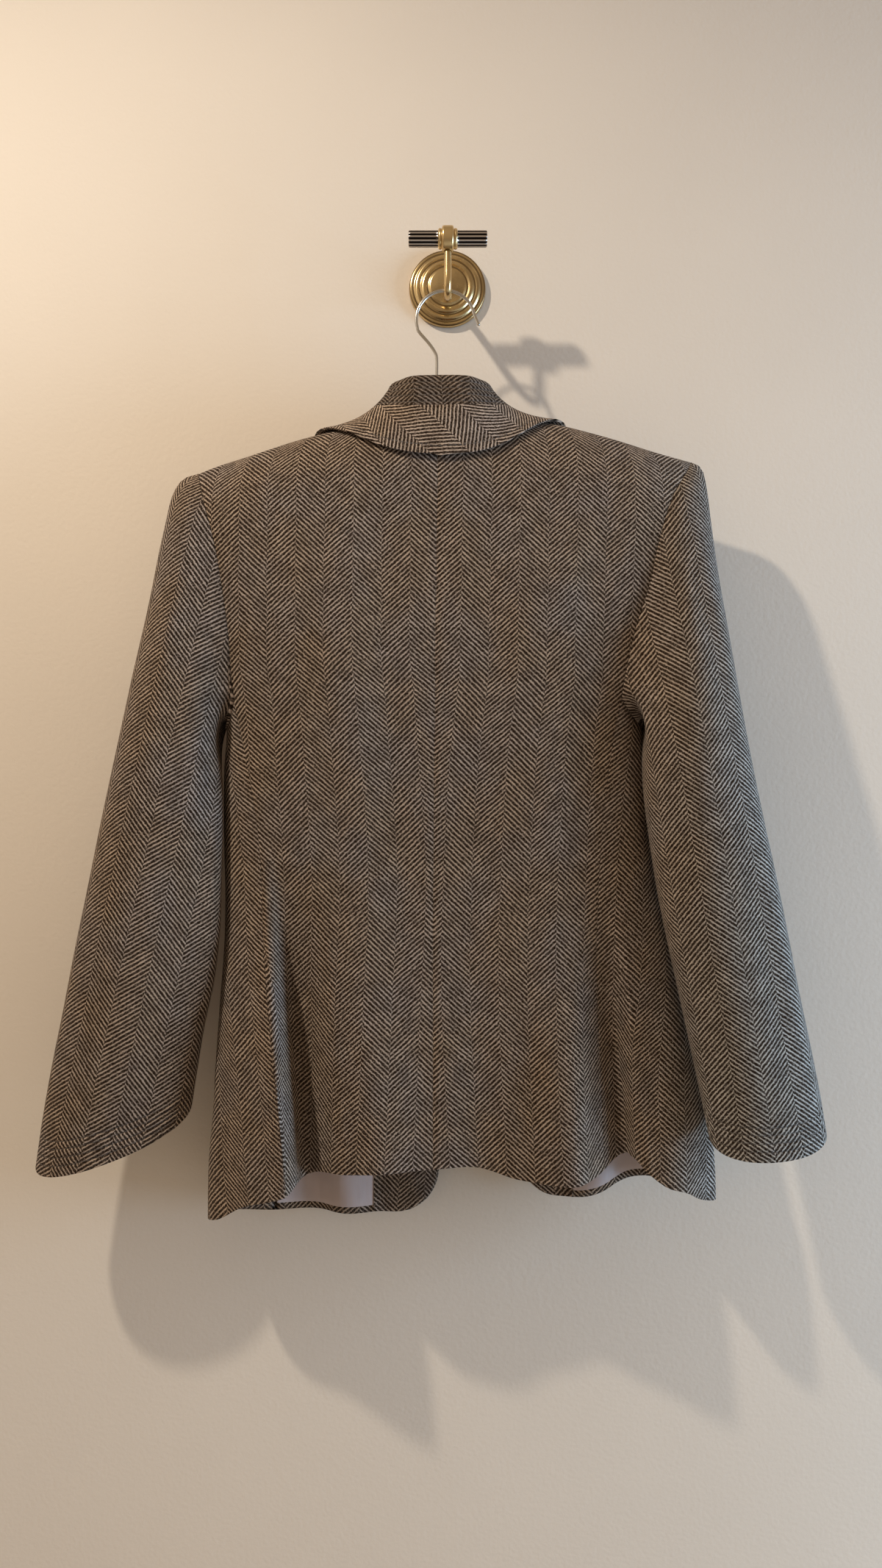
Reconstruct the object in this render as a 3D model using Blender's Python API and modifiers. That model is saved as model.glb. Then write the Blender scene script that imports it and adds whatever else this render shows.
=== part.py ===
"""A herringbone jacket hanging on a hanger from a brass wall hook, with its back to the room.

The origin is the centre of the hook rose's flat back, which lies on the wall: the plane y = 0.
The jacket hangs in front of the wall at negative y, and its back faces -Y. Left and right are
the wearer's, and they are the viewer's too, since the back is what is seen. Tables and named
sizes are in millimetres, and each mesh is made in metres.
"""

import math
from bisect import bisect_right
from collections import namedtuple

import bmesh
import bpy
from mathutils import Vector

MM = 0.001
BACK = -1
FRONT = 1
LEFT = -1
RIGHT = 1

# Cloth and seams
CLOTH = 2.0             # wool herringbone with its canvas
LINING = 1.0
SEAM_GAP = 0.3
LAYER_GAP = 0.6
HEM_TURN = 7.0          # cloth that shows below the lining

# Where the jacket hangs. The tables' height 0 lies this much under the rose's centre.
LEVEL = Vector((0, 0, -5.5))
PLANE = -60.0           # y of the shoulder seams, the hanger and the hook's trough
CENTRE = -11.0          # x of the body's middle
NECK_CENTRE = -8.0
NECK_HALF = 66.0        # from the neck's middle to the neck end of a shoulder seam
SHOULDER_ROLL = 60.0    # drop in which a shoulder turns from level to upright
SQUARENESS = 5.0        # how flat the body's sections are before their sides turn round
LAP = 2.7               # how far each front moves out or in where the fronts overlap
LAP_CENTRE = 5.0
HEM_GUIDE = -800.0      # where a column's place on the hem is taken
NECK_GUIDE = -130.0     # where the place of a panel's inner edge on the shoulder line is taken
TIP_GUIDE = -172.0      # where the place of its outer edge there is taken
FOLD_END = -850.0       # where the folds reach their place at the hem

# Body sections from the hem up: reach is from the middle to each side's edge. Above the
# armholes the reach is that of the section that the armhole cuts short.
Section = namedtuple("Section", "height left right back front")
SECTIONS = (
    Section(-860, 203, 250, 40, 44),
    Section(-796, 202, 249, 40, 44),
    Section(-749, 198, 243, 39, 43),
    Section(-712, 196, 233, 38, 43),
    Section(-655, 192, 221, 37, 42),
    Section(-603, 185, 211, 36, 41),
    Section(-560, 182, 201, 36, 41),
    Section(-515, 181, 193, 37, 41),
    Section(-450, 181, 185, 40, 43),
    Section(-405, 182, 180, 42, 44),
    Section(-330, 212, 206, 44, 44),
    Section(-260, 240, 240, 43, 42),
    Section(-200, 262, 262, 40, 38),
    Section(-140, 275, 275, 35, 33),
)

# The shoulder line: height of the seam at each place across.
Ridge = namedtuple("Ridge", "across height")
RIDGE = (
    Ridge(-225, -186),
    Ridge(-205, -178),
    Ridge(-177, -169),
    Ridge(-136, -155.5),
    Ridge(-112, -149),
    Ridge(-95, -144.5),
    Ridge(-76, -137.5),
    Ridge(-40, -127),
    Ridge(22, -127),
    Ridge(58, -134),
    Ridge(80, -138),
    Ridge(101, -141.5),
    Ridge(143, -152.5),
    Ridge(185, -165.5),
    Ridge(205, -171),
    Ridge(220, -175),
)

# Where the back's and fronts' edges run: centre seam, then the side-back seams, which go on
# up as the armholes' back edges to the shoulder tips.
BackSeam = namedtuple("BackSeam", "height left middle right")
BACK_SEAMS = (
    BackSeam(-860, -131, -13, 138),
    BackSeam(-733, -144, -13, 134),
    BackSeam(-647, -154, -13, 130),
    BackSeam(-595, -159, -13, 129),
    BackSeam(-520, -163, -12.5, 132),
    BackSeam(-450, -173, -12, 139),
    BackSeam(-385, -187, -11, 150),
    BackSeam(-330, -190, -11, 161),
    BackSeam(-284, -196, -10, 175),
    BackSeam(-250, -202, -10, 182),
    BackSeam(-210, -213, -9, 195),
    BackSeam(-172, -222, -9, 216),
    BackSeam(-120, -222, -9, 216),
)

# Front edges, which become the lapels' roll lines above the break, and the side-front
# seams, which go on up as the armholes' front edges.
FrontSeam = namedtuple("FrontSeam", "height left_side left_edge right_edge right_side")
FRONT_SEAMS = (
    FrontSeam(-860, -160, -8, 64, 196),
    FrontSeam(-800, -158, -7, 62, 192),
    FrontSeam(-700, -154, 5, 32, 172),
    FrontSeam(-600, -152, 18, -3, 156),
    FrontSeam(-520, -154, 23, -13, 146),
    FrontSeam(-450, -163, 23, -13, 146),
    FrontSeam(-400, -172, 22, -12, 152),
    FrontSeam(-385, -176, 17, -8, 155),
    FrontSeam(-330, -180, -5, 10, 160),
    FrontSeam(-284, -187, -23, 21, 170),
    FrontSeam(-210, -208, -52, 36, 194),
    FrontSeam(-172, -222, -66, 48, 216),
    FrontSeam(-136, -222, -76, 58, 216),
)

# The hem's height across the back, and across the fronts up to their rounded corners.
Hem = namedtuple("Hem", "across height")
BACK_HEM = (
    Hem(-214, -846),
    Hem(-200, -840),
    Hem(-178, -825),
    Hem(-150, -813),
    Hem(-131, -806),
    Hem(-112, -798),
    Hem(-60, -794),
    Hem(-13, -791),
    Hem(24, -790),
    Hem(60, -799),
    Hem(92, -802),
    Hem(112, -801),
    Hem(130, -797),
    Hem(146, -788),
    Hem(160, -784),
    Hem(174, -797),
    Hem(188, -807),
    Hem(206, -813),
    Hem(220, -822),
    Hem(239, -829),
)
FRONT_HEM = (
    Hem(-214, -846),
    Hem(-150, -854),
    Hem(20, -854),
    Hem(60, -841),
    Hem(92, -842),
    Hem(118, -841),
    Hem(140, -836),
    Hem(153, -831),
    Hem(167, -825),
    Hem(184, -822),
    Hem(205, -824),
    Hem(239, -829),
)
CORNER = 40.0           # radius of the fronts' cut-away corners

# Folds: a ridge (out > 0) or a valley (out < 0) that runs from its place at the top to its
# place at the hem, growing from nothing at start to its whole depth at full.
Fold = namedtuple("Fold", "side top hem start full out before after")
FOLDS = (
    Fold(BACK, -158, -131, -520, -760, 19, 62, 20),
    Fold(BACK, -138, -111, -540, -760, -8, 18, 46),
    Fold(BACK, -40, -52, -560, -840, 3, 40, 40),
    Fold(BACK, 40, 30, -600, -840, -4, 40, 40),
    Fold(BACK, 98, 110, -600, -800, 15, 50, 30),
    Fold(BACK, 136, 154, -610, -800, -11, 26, 30),
    Fold(BACK, 190, 204, -680, -820, 10, 34, 30),
    Fold(BACK, -100, -60, -190, -330, 3, 46, 46),
    Fold(BACK, 90, 60, -190, -330, 3, 46, 46),
    Fold(FRONT, -150, -128, -560, -800, 6, 40, 30),
    Fold(FRONT, -108, -92, -580, -820, -9, 28, 34),
    Fold(FRONT, 150, 168, -560, -800, 6, 30, 40),
    Fold(FRONT, 118, 132, -600, -820, -9, 30, 28),
)

# The armhole's lowest stretch, across the side panel
ARMHOLE_CORNER = -385.0
ARMHOLE_DIP = 24.0

# Sleeve rings from the armhole down: the outer and the inner end of each, how far it bulges
# to the back and to the front, the y of its middle line, how far its back half hangs lower,
# and how much of the armhole's own outline it still has.
Ring = namedtuple("Ring", "outer_x outer_z inner_x inner_z back front middle dip armhole")
LEFT_SLEEVE = (
    Ring(-227.5, -187.5, -194.5, -405, 42, 40, -60, 0, 0.95),
    Ring(-235, -193, -197, -403, 43, 40, -61, 0, 0.82),
    Ring(-242, -205, -200, -405, 43, 40, -62, 0, 0.66),
    Ring(-247, -224, -202, -410, 43, 40, -63, 0, 0.48),
    Ring(-254, -255, -203, -418, 43, 40, -64, 0, 0.3),
    Ring(-264, -305, -203, -430, 43, 40, -65, 0, 0.13),
    Ring(-277, -362, -204, -446, 42, 39, -66, 0, 0.04),
    Ring(-290, -422, -205, -470, 41, 37, -67, 1, 0),
    Ring(-304, -487, -206, -503, 39, 35, -68, 2, 0),
    Ring(-316, -546, -207, -544, 37, 33, -69, 4, 0),
    Ring(-328, -604, -207, -588, 35, 31, -70, 6, 0),
    Ring(-338, -655, -209, -632, 33, 29, -70, 8, 0),
    Ring(-348, -703, -215, -673, 31, 28, -70, 11, 0),
    Ring(-357, -753, -221, -711, 29, 27, -70, 14, 0),
    Ring(-363, -794, -226, -744, 28, 26, -70, 18, 0),
)
RIGHT_SLEEVE = (
    Ring(220.5, -177, 174, -405, 42, 40, -60, 0, 0.95),
    Ring(225, -184, 176, -403, 43, 40, -62, 0, 0.82),
    Ring(228.5, -203, 176, -405, 43, 39, -65, 0, 0.66),
    Ring(231.5, -232, 175, -410, 43, 38, -69, 0, 0.48),
    Ring(236.5, -275, 173, -418, 43, 37, -74, 0, 0.3),
    Ring(244, -326, 171, -430, 43, 35, -79, 0, 0.13),
    Ring(252.5, -380, 170, -448, 43, 32, -82, 0, 0.04),
    Ring(262, -436, 171, -474, 42, 29, -85, 1, 0),
    Ring(272.5, -489, 175, -508, 41, 26, -87, 2, 0),
    Ring(283.5, -541, 181, -550, 40, 24, -89, 4, 0),
    Ring(293.5, -591, 189, -592, 39, 23, -90, 6, 0),
    Ring(302.5, -638, 198, -634, 38, 23, -91, 8, 0),
    Ring(311.5, -680, 208, -680, 37, 23, -91, 10, 0),
    Ring(320, -722, 218, -727, 36, 23, -91, 12, 0),
    Ring(326, -757, 226, -766, 35, 23, -91, 15, 0),
)

# The collar's half, from the centre back (0) over the shoulder seam (1) to the front end (2):
# the crease where it folds over, and its outer edge on the jacket, as a place across and a
# turn over the shoulder (0 on the seam, 90 where the roll ends, negative on the back).
Station = namedtuple("Station", "along fold_x fold_y fold_z edge_x edge_turn bulge")
COLLAR = (
    Station(0.0, 0, -80, -102.5, 0, -84, 3),
    Station(0.45, 23, -78, -102.5, 40, -76, 2),
    Station(0.8, 34, -70, -103.5, 73, -50, -3),
    Station(1.0, 40.5, -60, -106.5, 104.5, -8, -9),
    Station(1.35, 43.5, -36, -118, 116.5, 32, -7),
    Station(1.7, 43.5, -19, -150, 118.5, 62, -3),
    Station(2.0, 49, -12, -194.5, 105.5, 100, 0),
)
COLLAR_CENTRE = -6.5
COLLAR_FOLD = 2.7       # radius of the fold's middle line
COLLAR_LIFT = 2.8
BAND_DEPTH = 28.0       # stitched band outside, from the fold to the fall

# Lapels, from the gorge down to the break: the width from the roll line to the outer edge
Lapel = namedtuple("Lapel", "roll_z width edge_z")
LAPEL = (
    Lapel(-198, 34, -206),
    Lapel(-202, 57, -227),
    Lapel(-236, 56, -252),
    Lapel(-270, 50, -284),
    Lapel(-305, 41, -317),
    Lapel(-340, 29, -348),
    Lapel(-370, 16, -375),
    Lapel(-392, 6, -394),
)
LAPEL_LIFT = 1.0

FACING_COLUMNS = 6      # of the front's own columns, about 60 wide at the hem
FACING_INSET = 1.2

# Buttons on the upper front
BUTTON_HEIGHTS = (-545.0, -440.0)
BUTTON_RADIUS = 11.0
BUTTON_THICKNESS = 3.6

# Hanger
HANGER_LEFT = -203.0
HANGER_RIGHT = 198.0
HANGER_PEAK = 9.0       # rise of its middle, where the hook goes in
HANGER_PEAK_HALF = 45.0
HANGER_CLEAR = 0.8
HANGER_HALF_WIDTH = 9.0
HANGER_END_HALF_WIDTH = 13.0
HANGER_HALF_HEIGHT = 15.0
HANGER_END_HALF_HEIGHT = 11.0

# Hanger hook
WIRE_RADIUS = 1.4
HOOK_X = -2.0
HOOK_Z = -46.2
HOOK_RADIUS = 26.0
SHANK_X = -9.8
SHANK_FOOT = 0.8        # how far the hanger's own edge lies under its smooth line there

# Wall hook
ROSE_RADIUS = 36.0
ARM_RADIUS = 3.25
BAR_Y = -73.0
BAR_Z = 20.0
BAR_RADIUS = 7.0
BAR_HALF = 34.5
BAR_COLLAR_RADIUS = 11.0
BAR_COLLAR_HALF = 8.4


# ---------------------------------------------------------------- smooth tables

def through(pairs):
    """A smooth function through (place, value) pairs with rising places, level past both ends."""
    places = [pair[0] for pair in pairs]
    values = [pair[1] for pair in pairs]
    last = len(pairs) - 1
    slopes = []
    for i in range(len(pairs)):
        before = max(i - 1, 0)
        after = min(i + 1, last)
        slopes.append((values[after] - values[before]) / (places[after] - places[before]))

    def value(place):
        if place <= places[0]:
            return values[0]
        if place >= places[-1]:
            return values[-1]
        i = bisect_right(places, place) - 1
        step = places[i + 1] - places[i]
        t = (place - places[i]) / step
        start = values[i] * (1 + 2 * t) * (1 - t) ** 2 + slopes[i] * step * t * (1 - t) ** 2
        end = values[i + 1] * (3 - 2 * t) * t * t + slopes[i + 1] * step * t * t * (t - 1)
        return start + end

    return value


def column(table, place, value):
    """A smooth function from one named column of a table to another."""
    return through([(getattr(row, place), getattr(row, value)) for row in table])


def mix(a, b, t):
    return a + (b - a) * t


def spaced(count):
    """count + 1 even steps from 0 to 1."""
    return [i / count for i in range(count + 1)]


REACH = {
    LEFT: column(SECTIONS, "height", "left"),
    RIGHT: column(SECTIONS, "height", "right"),
}
DEPTH = {
    BACK: column(SECTIONS, "height", "back"),
    FRONT: column(SECTIONS, "height", "front"),
}
RIDGE_HEIGHT = column(RIDGE, "across", "height")
HEM_HEIGHT = {
    BACK: column(BACK_HEM, "across", "height"),
    FRONT: column(FRONT_HEM, "across", "height"),
}
MIDDLE_SEAM = column(BACK_SEAMS, "height", "middle")
SIDE_SEAM = {
    (LEFT, BACK): column(BACK_SEAMS, "height", "left"),
    (RIGHT, BACK): column(BACK_SEAMS, "height", "right"),
    (LEFT, FRONT): column(FRONT_SEAMS, "height", "left_side"),
    (RIGHT, FRONT): column(FRONT_SEAMS, "height", "right_side"),
}
FRONT_EDGE = {
    LEFT: column(FRONT_SEAMS, "height", "left_edge"),
    RIGHT: column(FRONT_SEAMS, "height", "right_edge"),
}


# ---------------------------------------------------------------- the body's form

def fold_out(fold, x, z):
    """How far a fold moves the cloth out at this place."""
    grown = min(max((fold.start - z) / (fold.start - fold.full), 0), 1)
    if grown == 0:
        return 0.0
    line = mix(fold.top, fold.hem, (fold.start - z) / (fold.start - FOLD_END))
    width = fold.before if x < line else fold.after
    off = abs(x - line) / width
    if off >= 1:
        return 0.0
    return fold.out * grown * grown * (3 - 2 * grown) * 0.5 * (1 + math.cos(math.pi * off))


def body_depth(x, z, face):
    """From the hanging plane to the cloth, before its sides and shoulders turn round."""
    depth = DEPTH[face](z)
    for fold in FOLDS:
        if fold.side == face:
            depth += fold_out(fold, x, z)
    return depth


def side_share(x, z):
    """1 in the body's middle, falling to 0 at its side edge."""
    side = LEFT if x < CENTRE else RIGHT
    across = min(abs(x - CENTRE) / REACH[side](z), 1)
    return 1 - across ** SQUARENESS


def shoulder_share(x, z):
    """1 below the shoulders' roll, falling to 0 on the shoulder line."""
    over = min(max(1 - (RIDGE_HEIGHT(x) - z) / SHOULDER_ROLL, 0), 1)
    return 1 - over * over


def lap_out(x, side):
    """The right front laps over the left one round the centre front."""
    near = min(max((80 - abs(x - LAP_CENTRE)) / 45, 0), 1)
    return side * LAP * near * near * (3 - 2 * near)


def body_point(x, z, face, lap_side=0):
    share = math.sqrt(max(side_share(x, z) * shoulder_share(x, z), 0))
    depth = body_depth(x, z, face) + lap_out(x, lap_side)
    return Vector((x, PLANE + face * depth * share, z))


def body_normal(point, face, lap_side=0):
    """Outward normal, as the slope of the form's own equation at the point."""
    step = 0.05

    def level(x, y, z):
        depth = body_depth(x, z, face) + lap_out(x, lap_side)
        return ((y - PLANE) / depth) ** 2 - side_share(x, z) * shoulder_share(x, z)

    x, y, z = point
    slope = Vector((
        level(x + step, y, z) - level(x - step, y, z),
        level(x, y + step, z) - level(x, y - step, z),
        level(x, y, z + step) - level(x, y, z - step),
    ))
    return slope.normalized()


def turn_height(x, turn):
    """Height at this many degrees of turn down from the shoulder line."""
    if abs(turn) > 90:
        return RIDGE_HEIGHT(x) - SHOULDER_ROLL - (abs(turn) - 90)
    return RIDGE_HEIGHT(x) - SHOULDER_ROLL * (1 - math.cos(math.radians(turn)))


# ---------------------------------------------------------------- walls and materials

def principled(name, colour, roughness, metallic=0.0):
    material = bpy.data.materials.new(name)
    material.use_nodes = True
    shader = material.node_tree.nodes["Principled BSDF"]
    shader.inputs["Base Color"].default_value = (*colour, 1)
    shader.inputs["Roughness"].default_value = roughness
    shader.inputs["Metallic"].default_value = metallic
    return material


def keep(name, mesh, material):
    """A named object of the jacket from a mesh, smooth but for its sharp edges."""
    mesh.materials.append(material)
    mesh.shade_smooth()
    mesh.set_sharp_from_angle(angle=math.radians(50))
    made = bpy.data.objects.new(name, mesh)
    JACKET.objects.link(made)
    return made


def wall(name, outer, inner, material, closed_rows=False):
    """A cloth wall between two grids of points. closed_rows joins each row's ends into a ring."""
    shape = bmesh.new()
    skins = []
    for grid in (outer, inner):
        skins.append([[shape.verts.new((point + LEVEL) * MM) for point in row] for row in grid])
    rows = len(outer)
    columns = len(outer[0])
    across = columns if closed_rows else columns - 1
    top, low = skins

    def quad(a, b, c, d):
        shape.faces.new((a, b, c, d))

    for i in range(rows - 1):
        for j in range(across):
            k = (j + 1) % columns
            quad(top[i][j], top[i][k], top[i + 1][k], top[i + 1][j])
            quad(low[i][j], low[i + 1][j], low[i + 1][k], low[i][k])
    for j in range(across):
        k = (j + 1) % columns
        quad(top[0][j], low[0][j], low[0][k], top[0][k])
        quad(top[-1][j], top[-1][k], low[-1][k], low[-1][j])
    if not closed_rows:
        for i in range(rows - 1):
            quad(top[i][0], top[i + 1][0], low[i + 1][0], low[i][0])
            quad(top[i][-1], low[i][-1], low[i + 1][-1], top[i + 1][-1])
    bmesh.ops.recalc_face_normals(shape, faces=shape.faces)
    mesh = bpy.data.meshes.new(name)
    shape.to_mesh(mesh)
    shape.free()
    return keep(name, mesh, material)


def two_skins(rows, depth, thickness):
    """Outer and inner grids of a layer that starts this far under the form's surface."""
    outer = [[point - normal * depth for point, normal in row] for row in rows]
    inner = [[point - normal * (depth + thickness) for point, normal in row] for row in rows]
    return outer, inner


def grid_normals(grid, hint):
    """Normals of a grid of points, on the side that hint(i, j) points to."""
    rows = len(grid)
    columns = len(grid[0])
    found = []
    for i in range(rows):
        line = []
        for j in range(columns):
            along = grid[min(i + 1, rows - 1)][j] - grid[max(i - 1, 0)][j]
            across = grid[i][min(j + 1, columns - 1)] - grid[i][max(j - 1, 0)]
            normal = along.cross(across).normalized()
            if normal.dot(hint(i, j)) < 0:
                normal.negate()
            line.append(normal)
        found.append(line)
    return found


# ---------------------------------------------------------------- back, fronts and sides

LOW_ROWS = 12           # hem to the armhole's corner
ARM_ROWS = 4            # from there to the shoulder's roll
ROLL_ROWS = 5           # over the roll to its top edge


def panel_row_heights(x_hem, x_top, hem, top_turn):
    """Heights of a column's rows, and None for a row that is set by its turn over the roll."""
    roll_start = RIDGE_HEIGHT(x_top) - SHOULDER_ROLL
    heights = [mix(hem, ARMHOLE_CORNER, t) for t in spaced(LOW_ROWS)]
    heights += [mix(ARMHOLE_CORNER, roll_start, t) for t in spaced(ARM_ROWS)[1:]]
    turns = [None] * len(heights)
    heights += [roll_start] * ROLL_ROWS
    turns += [mix(90, top_turn, t) for t in spaced(ROLL_ROWS)[1:]]
    return heights, turns


def panel(columns, edges, face, hem_of, top_turn_of, lap_side=0):
    """Rows of (point, normal) between the two edges, each a function from height to x."""
    first, second = edges
    made = []
    for t in columns:
        x_hem = mix(first(HEM_GUIDE), second(HEM_GUIDE), t)
        x_top = mix(first(NECK_GUIDE), second(TIP_GUIDE), t)
        heights, turns = panel_row_heights(x_hem, x_top, hem_of(x_hem), top_turn_of(x_top))
        line = []
        for height, turn in zip(heights, turns):
            for _ in range(4):
                x = mix(first(height), second(height), t)
                if turn is not None:
                    height = turn_height(x, turn)
            point = body_point(x, height, face, lap_side)
            line.append((point, body_normal(point, face, lap_side)))
        made.append(line)
    return [list(row) for row in zip(*made)]


def shifted(edge, by):
    return lambda height: edge(height) + by


def bunched(count, power, start=0.0, end=1.0):
    """Steps from start to end that crowd towards the end when power is over 1."""
    return [mix(start, end, 1 - (1 - t) ** power) for t in spaced(count)]


BACK_NECK_TURN = 54.0
SEAM_TURN = 0.35        # leaves the seam's gap between the back and the fronts
NECK_COLUMNS = 6
SHOULDER_COLUMNS = 7


def back_neck_turn(x):
    """The back neckline, as a turn down from the shoulder line: 0 on the shoulder seam."""
    off = abs(x - NECK_CENTRE) / NECK_HALF
    if off >= 0.999:
        return SEAM_TURN
    return max(BACK_NECK_TURN * math.sqrt(1 - off * off), SEAM_TURN)


def back_panel(side):
    middle = shifted(MIDDLE_SEAM, side * SEAM_GAP / 2)
    outer_edge = shifted(SIDE_SEAM[side, BACK], -side * SEAM_GAP / 2)
    neck_x = NECK_CENTRE + side * NECK_HALF
    middle_top = middle(NECK_GUIDE)
    neck = (neck_x - middle_top) / (outer_edge(TIP_GUIDE) - middle_top)
    columns = bunched(NECK_COLUMNS, 1.7, 0.0, neck)
    columns += bunched(SHOULDER_COLUMNS, 1.25, neck, 1.0)[1:]
    return panel(columns, (middle, outer_edge), BACK, HEM_HEIGHT[BACK], back_neck_turn)


def front_hem(side):
    """The hem with its rounded corner at the front edge."""
    edge = FRONT_EDGE[side](HEM_GUIDE)

    def height(x):
        inside = (edge - x) * -side
        level = HEM_HEIGHT[FRONT](x)
        if inside >= CORNER:
            return level
        short = CORNER - max(inside, 0)
        return level + CORNER - math.sqrt(CORNER * CORNER - short * short)

    return height


FRONT_COLUMNS = 11


def front_panel(side):
    edge = FRONT_EDGE[side]
    outer_edge = shifted(SIDE_SEAM[side, FRONT], -side * SEAM_GAP / 2)
    columns = [t ** 1.5 for t in spaced(FRONT_COLUMNS)]
    return panel(columns, (edge, outer_edge), FRONT, front_hem(side), lambda x: SEAM_TURN, side)


SIDE_COLUMNS = 12       # even, so that one column is the side edge
SIDE_BUNCHING = 0.65    # under 1, so that the columns crowd towards the seams


def side_angle(x, z, side):
    """A place round the side: 0 at the side edge, a quarter turn in the body's middle."""
    across = min(abs(x - CENTRE) / REACH[side](z), 1)
    return math.acos(across ** (SQUARENESS / 2))


def side_place(side, t, z):
    """Point and normal on the side panel at t, from the back seam (-1) to the front seam (1)."""
    face = BACK if t < 0 else FRONT
    seam = SIDE_SEAM[side, face](z) + side * SEAM_GAP / 2
    angle = side_angle(seam, z, side) * abs(t) ** SIDE_BUNCHING
    x = CENTRE + side * REACH[side](z) * math.cos(angle) ** (2 / SQUARENESS)
    point = body_point(x, z, face)
    return point, body_normal(point, face)


def side_panel(side):
    made = []
    for step in range(SIDE_COLUMNS + 1):
        t = 2 * step / SIDE_COLUMNS - 1
        face = BACK if t < 0 else FRONT
        hem = HEM_HEIGHT[face](side_place(side, t, HEM_GUIDE)[0].x)
        top = ARMHOLE_CORNER - ARMHOLE_DIP * (1 - t * t)
        made.append([side_place(side, t, mix(hem, top, r)) for r in spaced(LOW_ROWS)])
    return [list(row) for row in zip(*made)]


# ---------------------------------------------------------------- sleeves

def armhole(back, side_rows, front):
    """The armhole's edge as (point, normal), from the underarm up the back and down the front."""
    middle = SIDE_COLUMNS // 2
    under = side_rows[-1]
    loop = list(reversed(under[:middle + 1]))
    loop += [row[-1] for row in back[LOW_ROWS + 1:]]
    loop += [row[-1] for row in reversed(front[LOW_ROWS + 1:-1])]
    loop += list(reversed(under[middle + 1:]))
    tip = middle + ARM_ROWS + ROLL_ROWS
    return loop, tip


def loop_shares(points, tip):
    """Each point's angle round the loop: 0 under the arm, half a turn at the shoulder tip."""
    count = len(points)
    steps = [(points[(i + 1) % count] - points[i]).length for i in range(count)]
    up = sum(steps[:tip])
    down = sum(steps[tip:])
    angles = []
    gone = 0.0
    for i in range(count):
        if i <= tip:
            angles.append(math.pi * gone / up)
        else:
            angles.append(math.pi * (1 + (gone - up) / down))
        gone += steps[i]
    return angles


def ring_point(ring, angle):
    """A point on one sleeve ring, an oval between its inner and outer ends."""
    lengthwise = math.copysign(abs(math.cos(angle)) ** 0.92, math.cos(angle))
    sideways = math.copysign(abs(math.sin(angle)) ** 0.85, math.sin(angle))
    bulge = -ring.back if sideways > 0 else -ring.front
    x = mix(ring.outer_x, ring.inner_x, (1 + lengthwise) / 2)
    z = mix(ring.outer_z, ring.inner_z, (1 + lengthwise) / 2) - ring.dip * sideways
    return Vector((x, ring.middle + bulge * sideways, z))


def sleeve(name, side, table, loop, tip, material):
    points = [point for point, _ in loop]
    angles = loop_shares(points, tip)
    count = len(points)
    first_outer = []
    first_inner = []
    for i, (point, normal) in enumerate(loop):
        along = (points[(i + 1) % count] - points[i - 1]).normalized()
        away = along.cross(normal).normalized()
        if away.dot(Vector((side, 0, 0.5))) < 0:
            away.negate()
        first_outer.append(point + away * SEAM_GAP)
        first_inner.append(point - normal * CLOTH + away * SEAM_GAP)
    rings = [first_outer]
    top = points[tip]
    under = points[0]
    start = table[0]._replace(outer_x=top.x, outer_z=top.z, inner_x=under.x, inner_z=under.z)
    own = [first_outer[i] - ring_point(start, angles[i]) for i in range(count)]
    for ring in table:
        rings.append([ring_point(ring, angles[i]) + own[i] * ring.armhole for i in range(count)])
    inner = [first_inner]
    for r in range(1, len(rings)):
        row = rings[r]
        before = rings[r - 1]
        after = rings[min(r + 1, len(rings) - 1)]
        line = []
        for i in range(count):
            around = row[(i + 1) % count] - row[i - 1]
            along = after[i] - before[i]
            line.append(row[i] + around.cross(along).normalized() * side * CLOTH)
        inner.append(line)
    return wall(name, rings, inner, material, closed_rows=True)


# ---------------------------------------------------------------- collar and lapels

def neck_edge(side):
    """(point, normal, station) along the neckline, from the centre back to the collar's end."""
    back = panels["back", side][-1][:NECK_COLUMNS + 1]
    front = [row[0] for row in panels["front", side][-2:-2 - ROLL_ROWS:-1]]
    found = []
    for part, start in ((back, 0), ([back[-1]] + front, 1)):
        steps = [(b[0] - a[0]).length for a, b in zip(part, part[1:])]
        gone = 0.0
        for (point, normal), step in zip(part, [0.0] + steps):
            gone += step
            if start == 0 or gone > 0:
                found.append((point, normal, start + gone / sum(steps)))
    return found


def edge_away(points, normals, towards):
    """At each point of an edge, the direction in the cloth that leads off it."""
    found = []
    last = len(points) - 1
    for i, (point, normal) in enumerate(zip(points, normals)):
        along = points[min(i + 1, last)] - points[max(i - 1, 0)]
        away = along.cross(normal).normalized()
        if away.dot(towards - point) < 0:
            away.negate()
        found.append(away)
    return found


FOLD_ANGLES = (-90, -45, 0, 45, 90)
STAND_STEPS = 2
BAND_STEPS = 2
FALL_STEPS = 4


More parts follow.
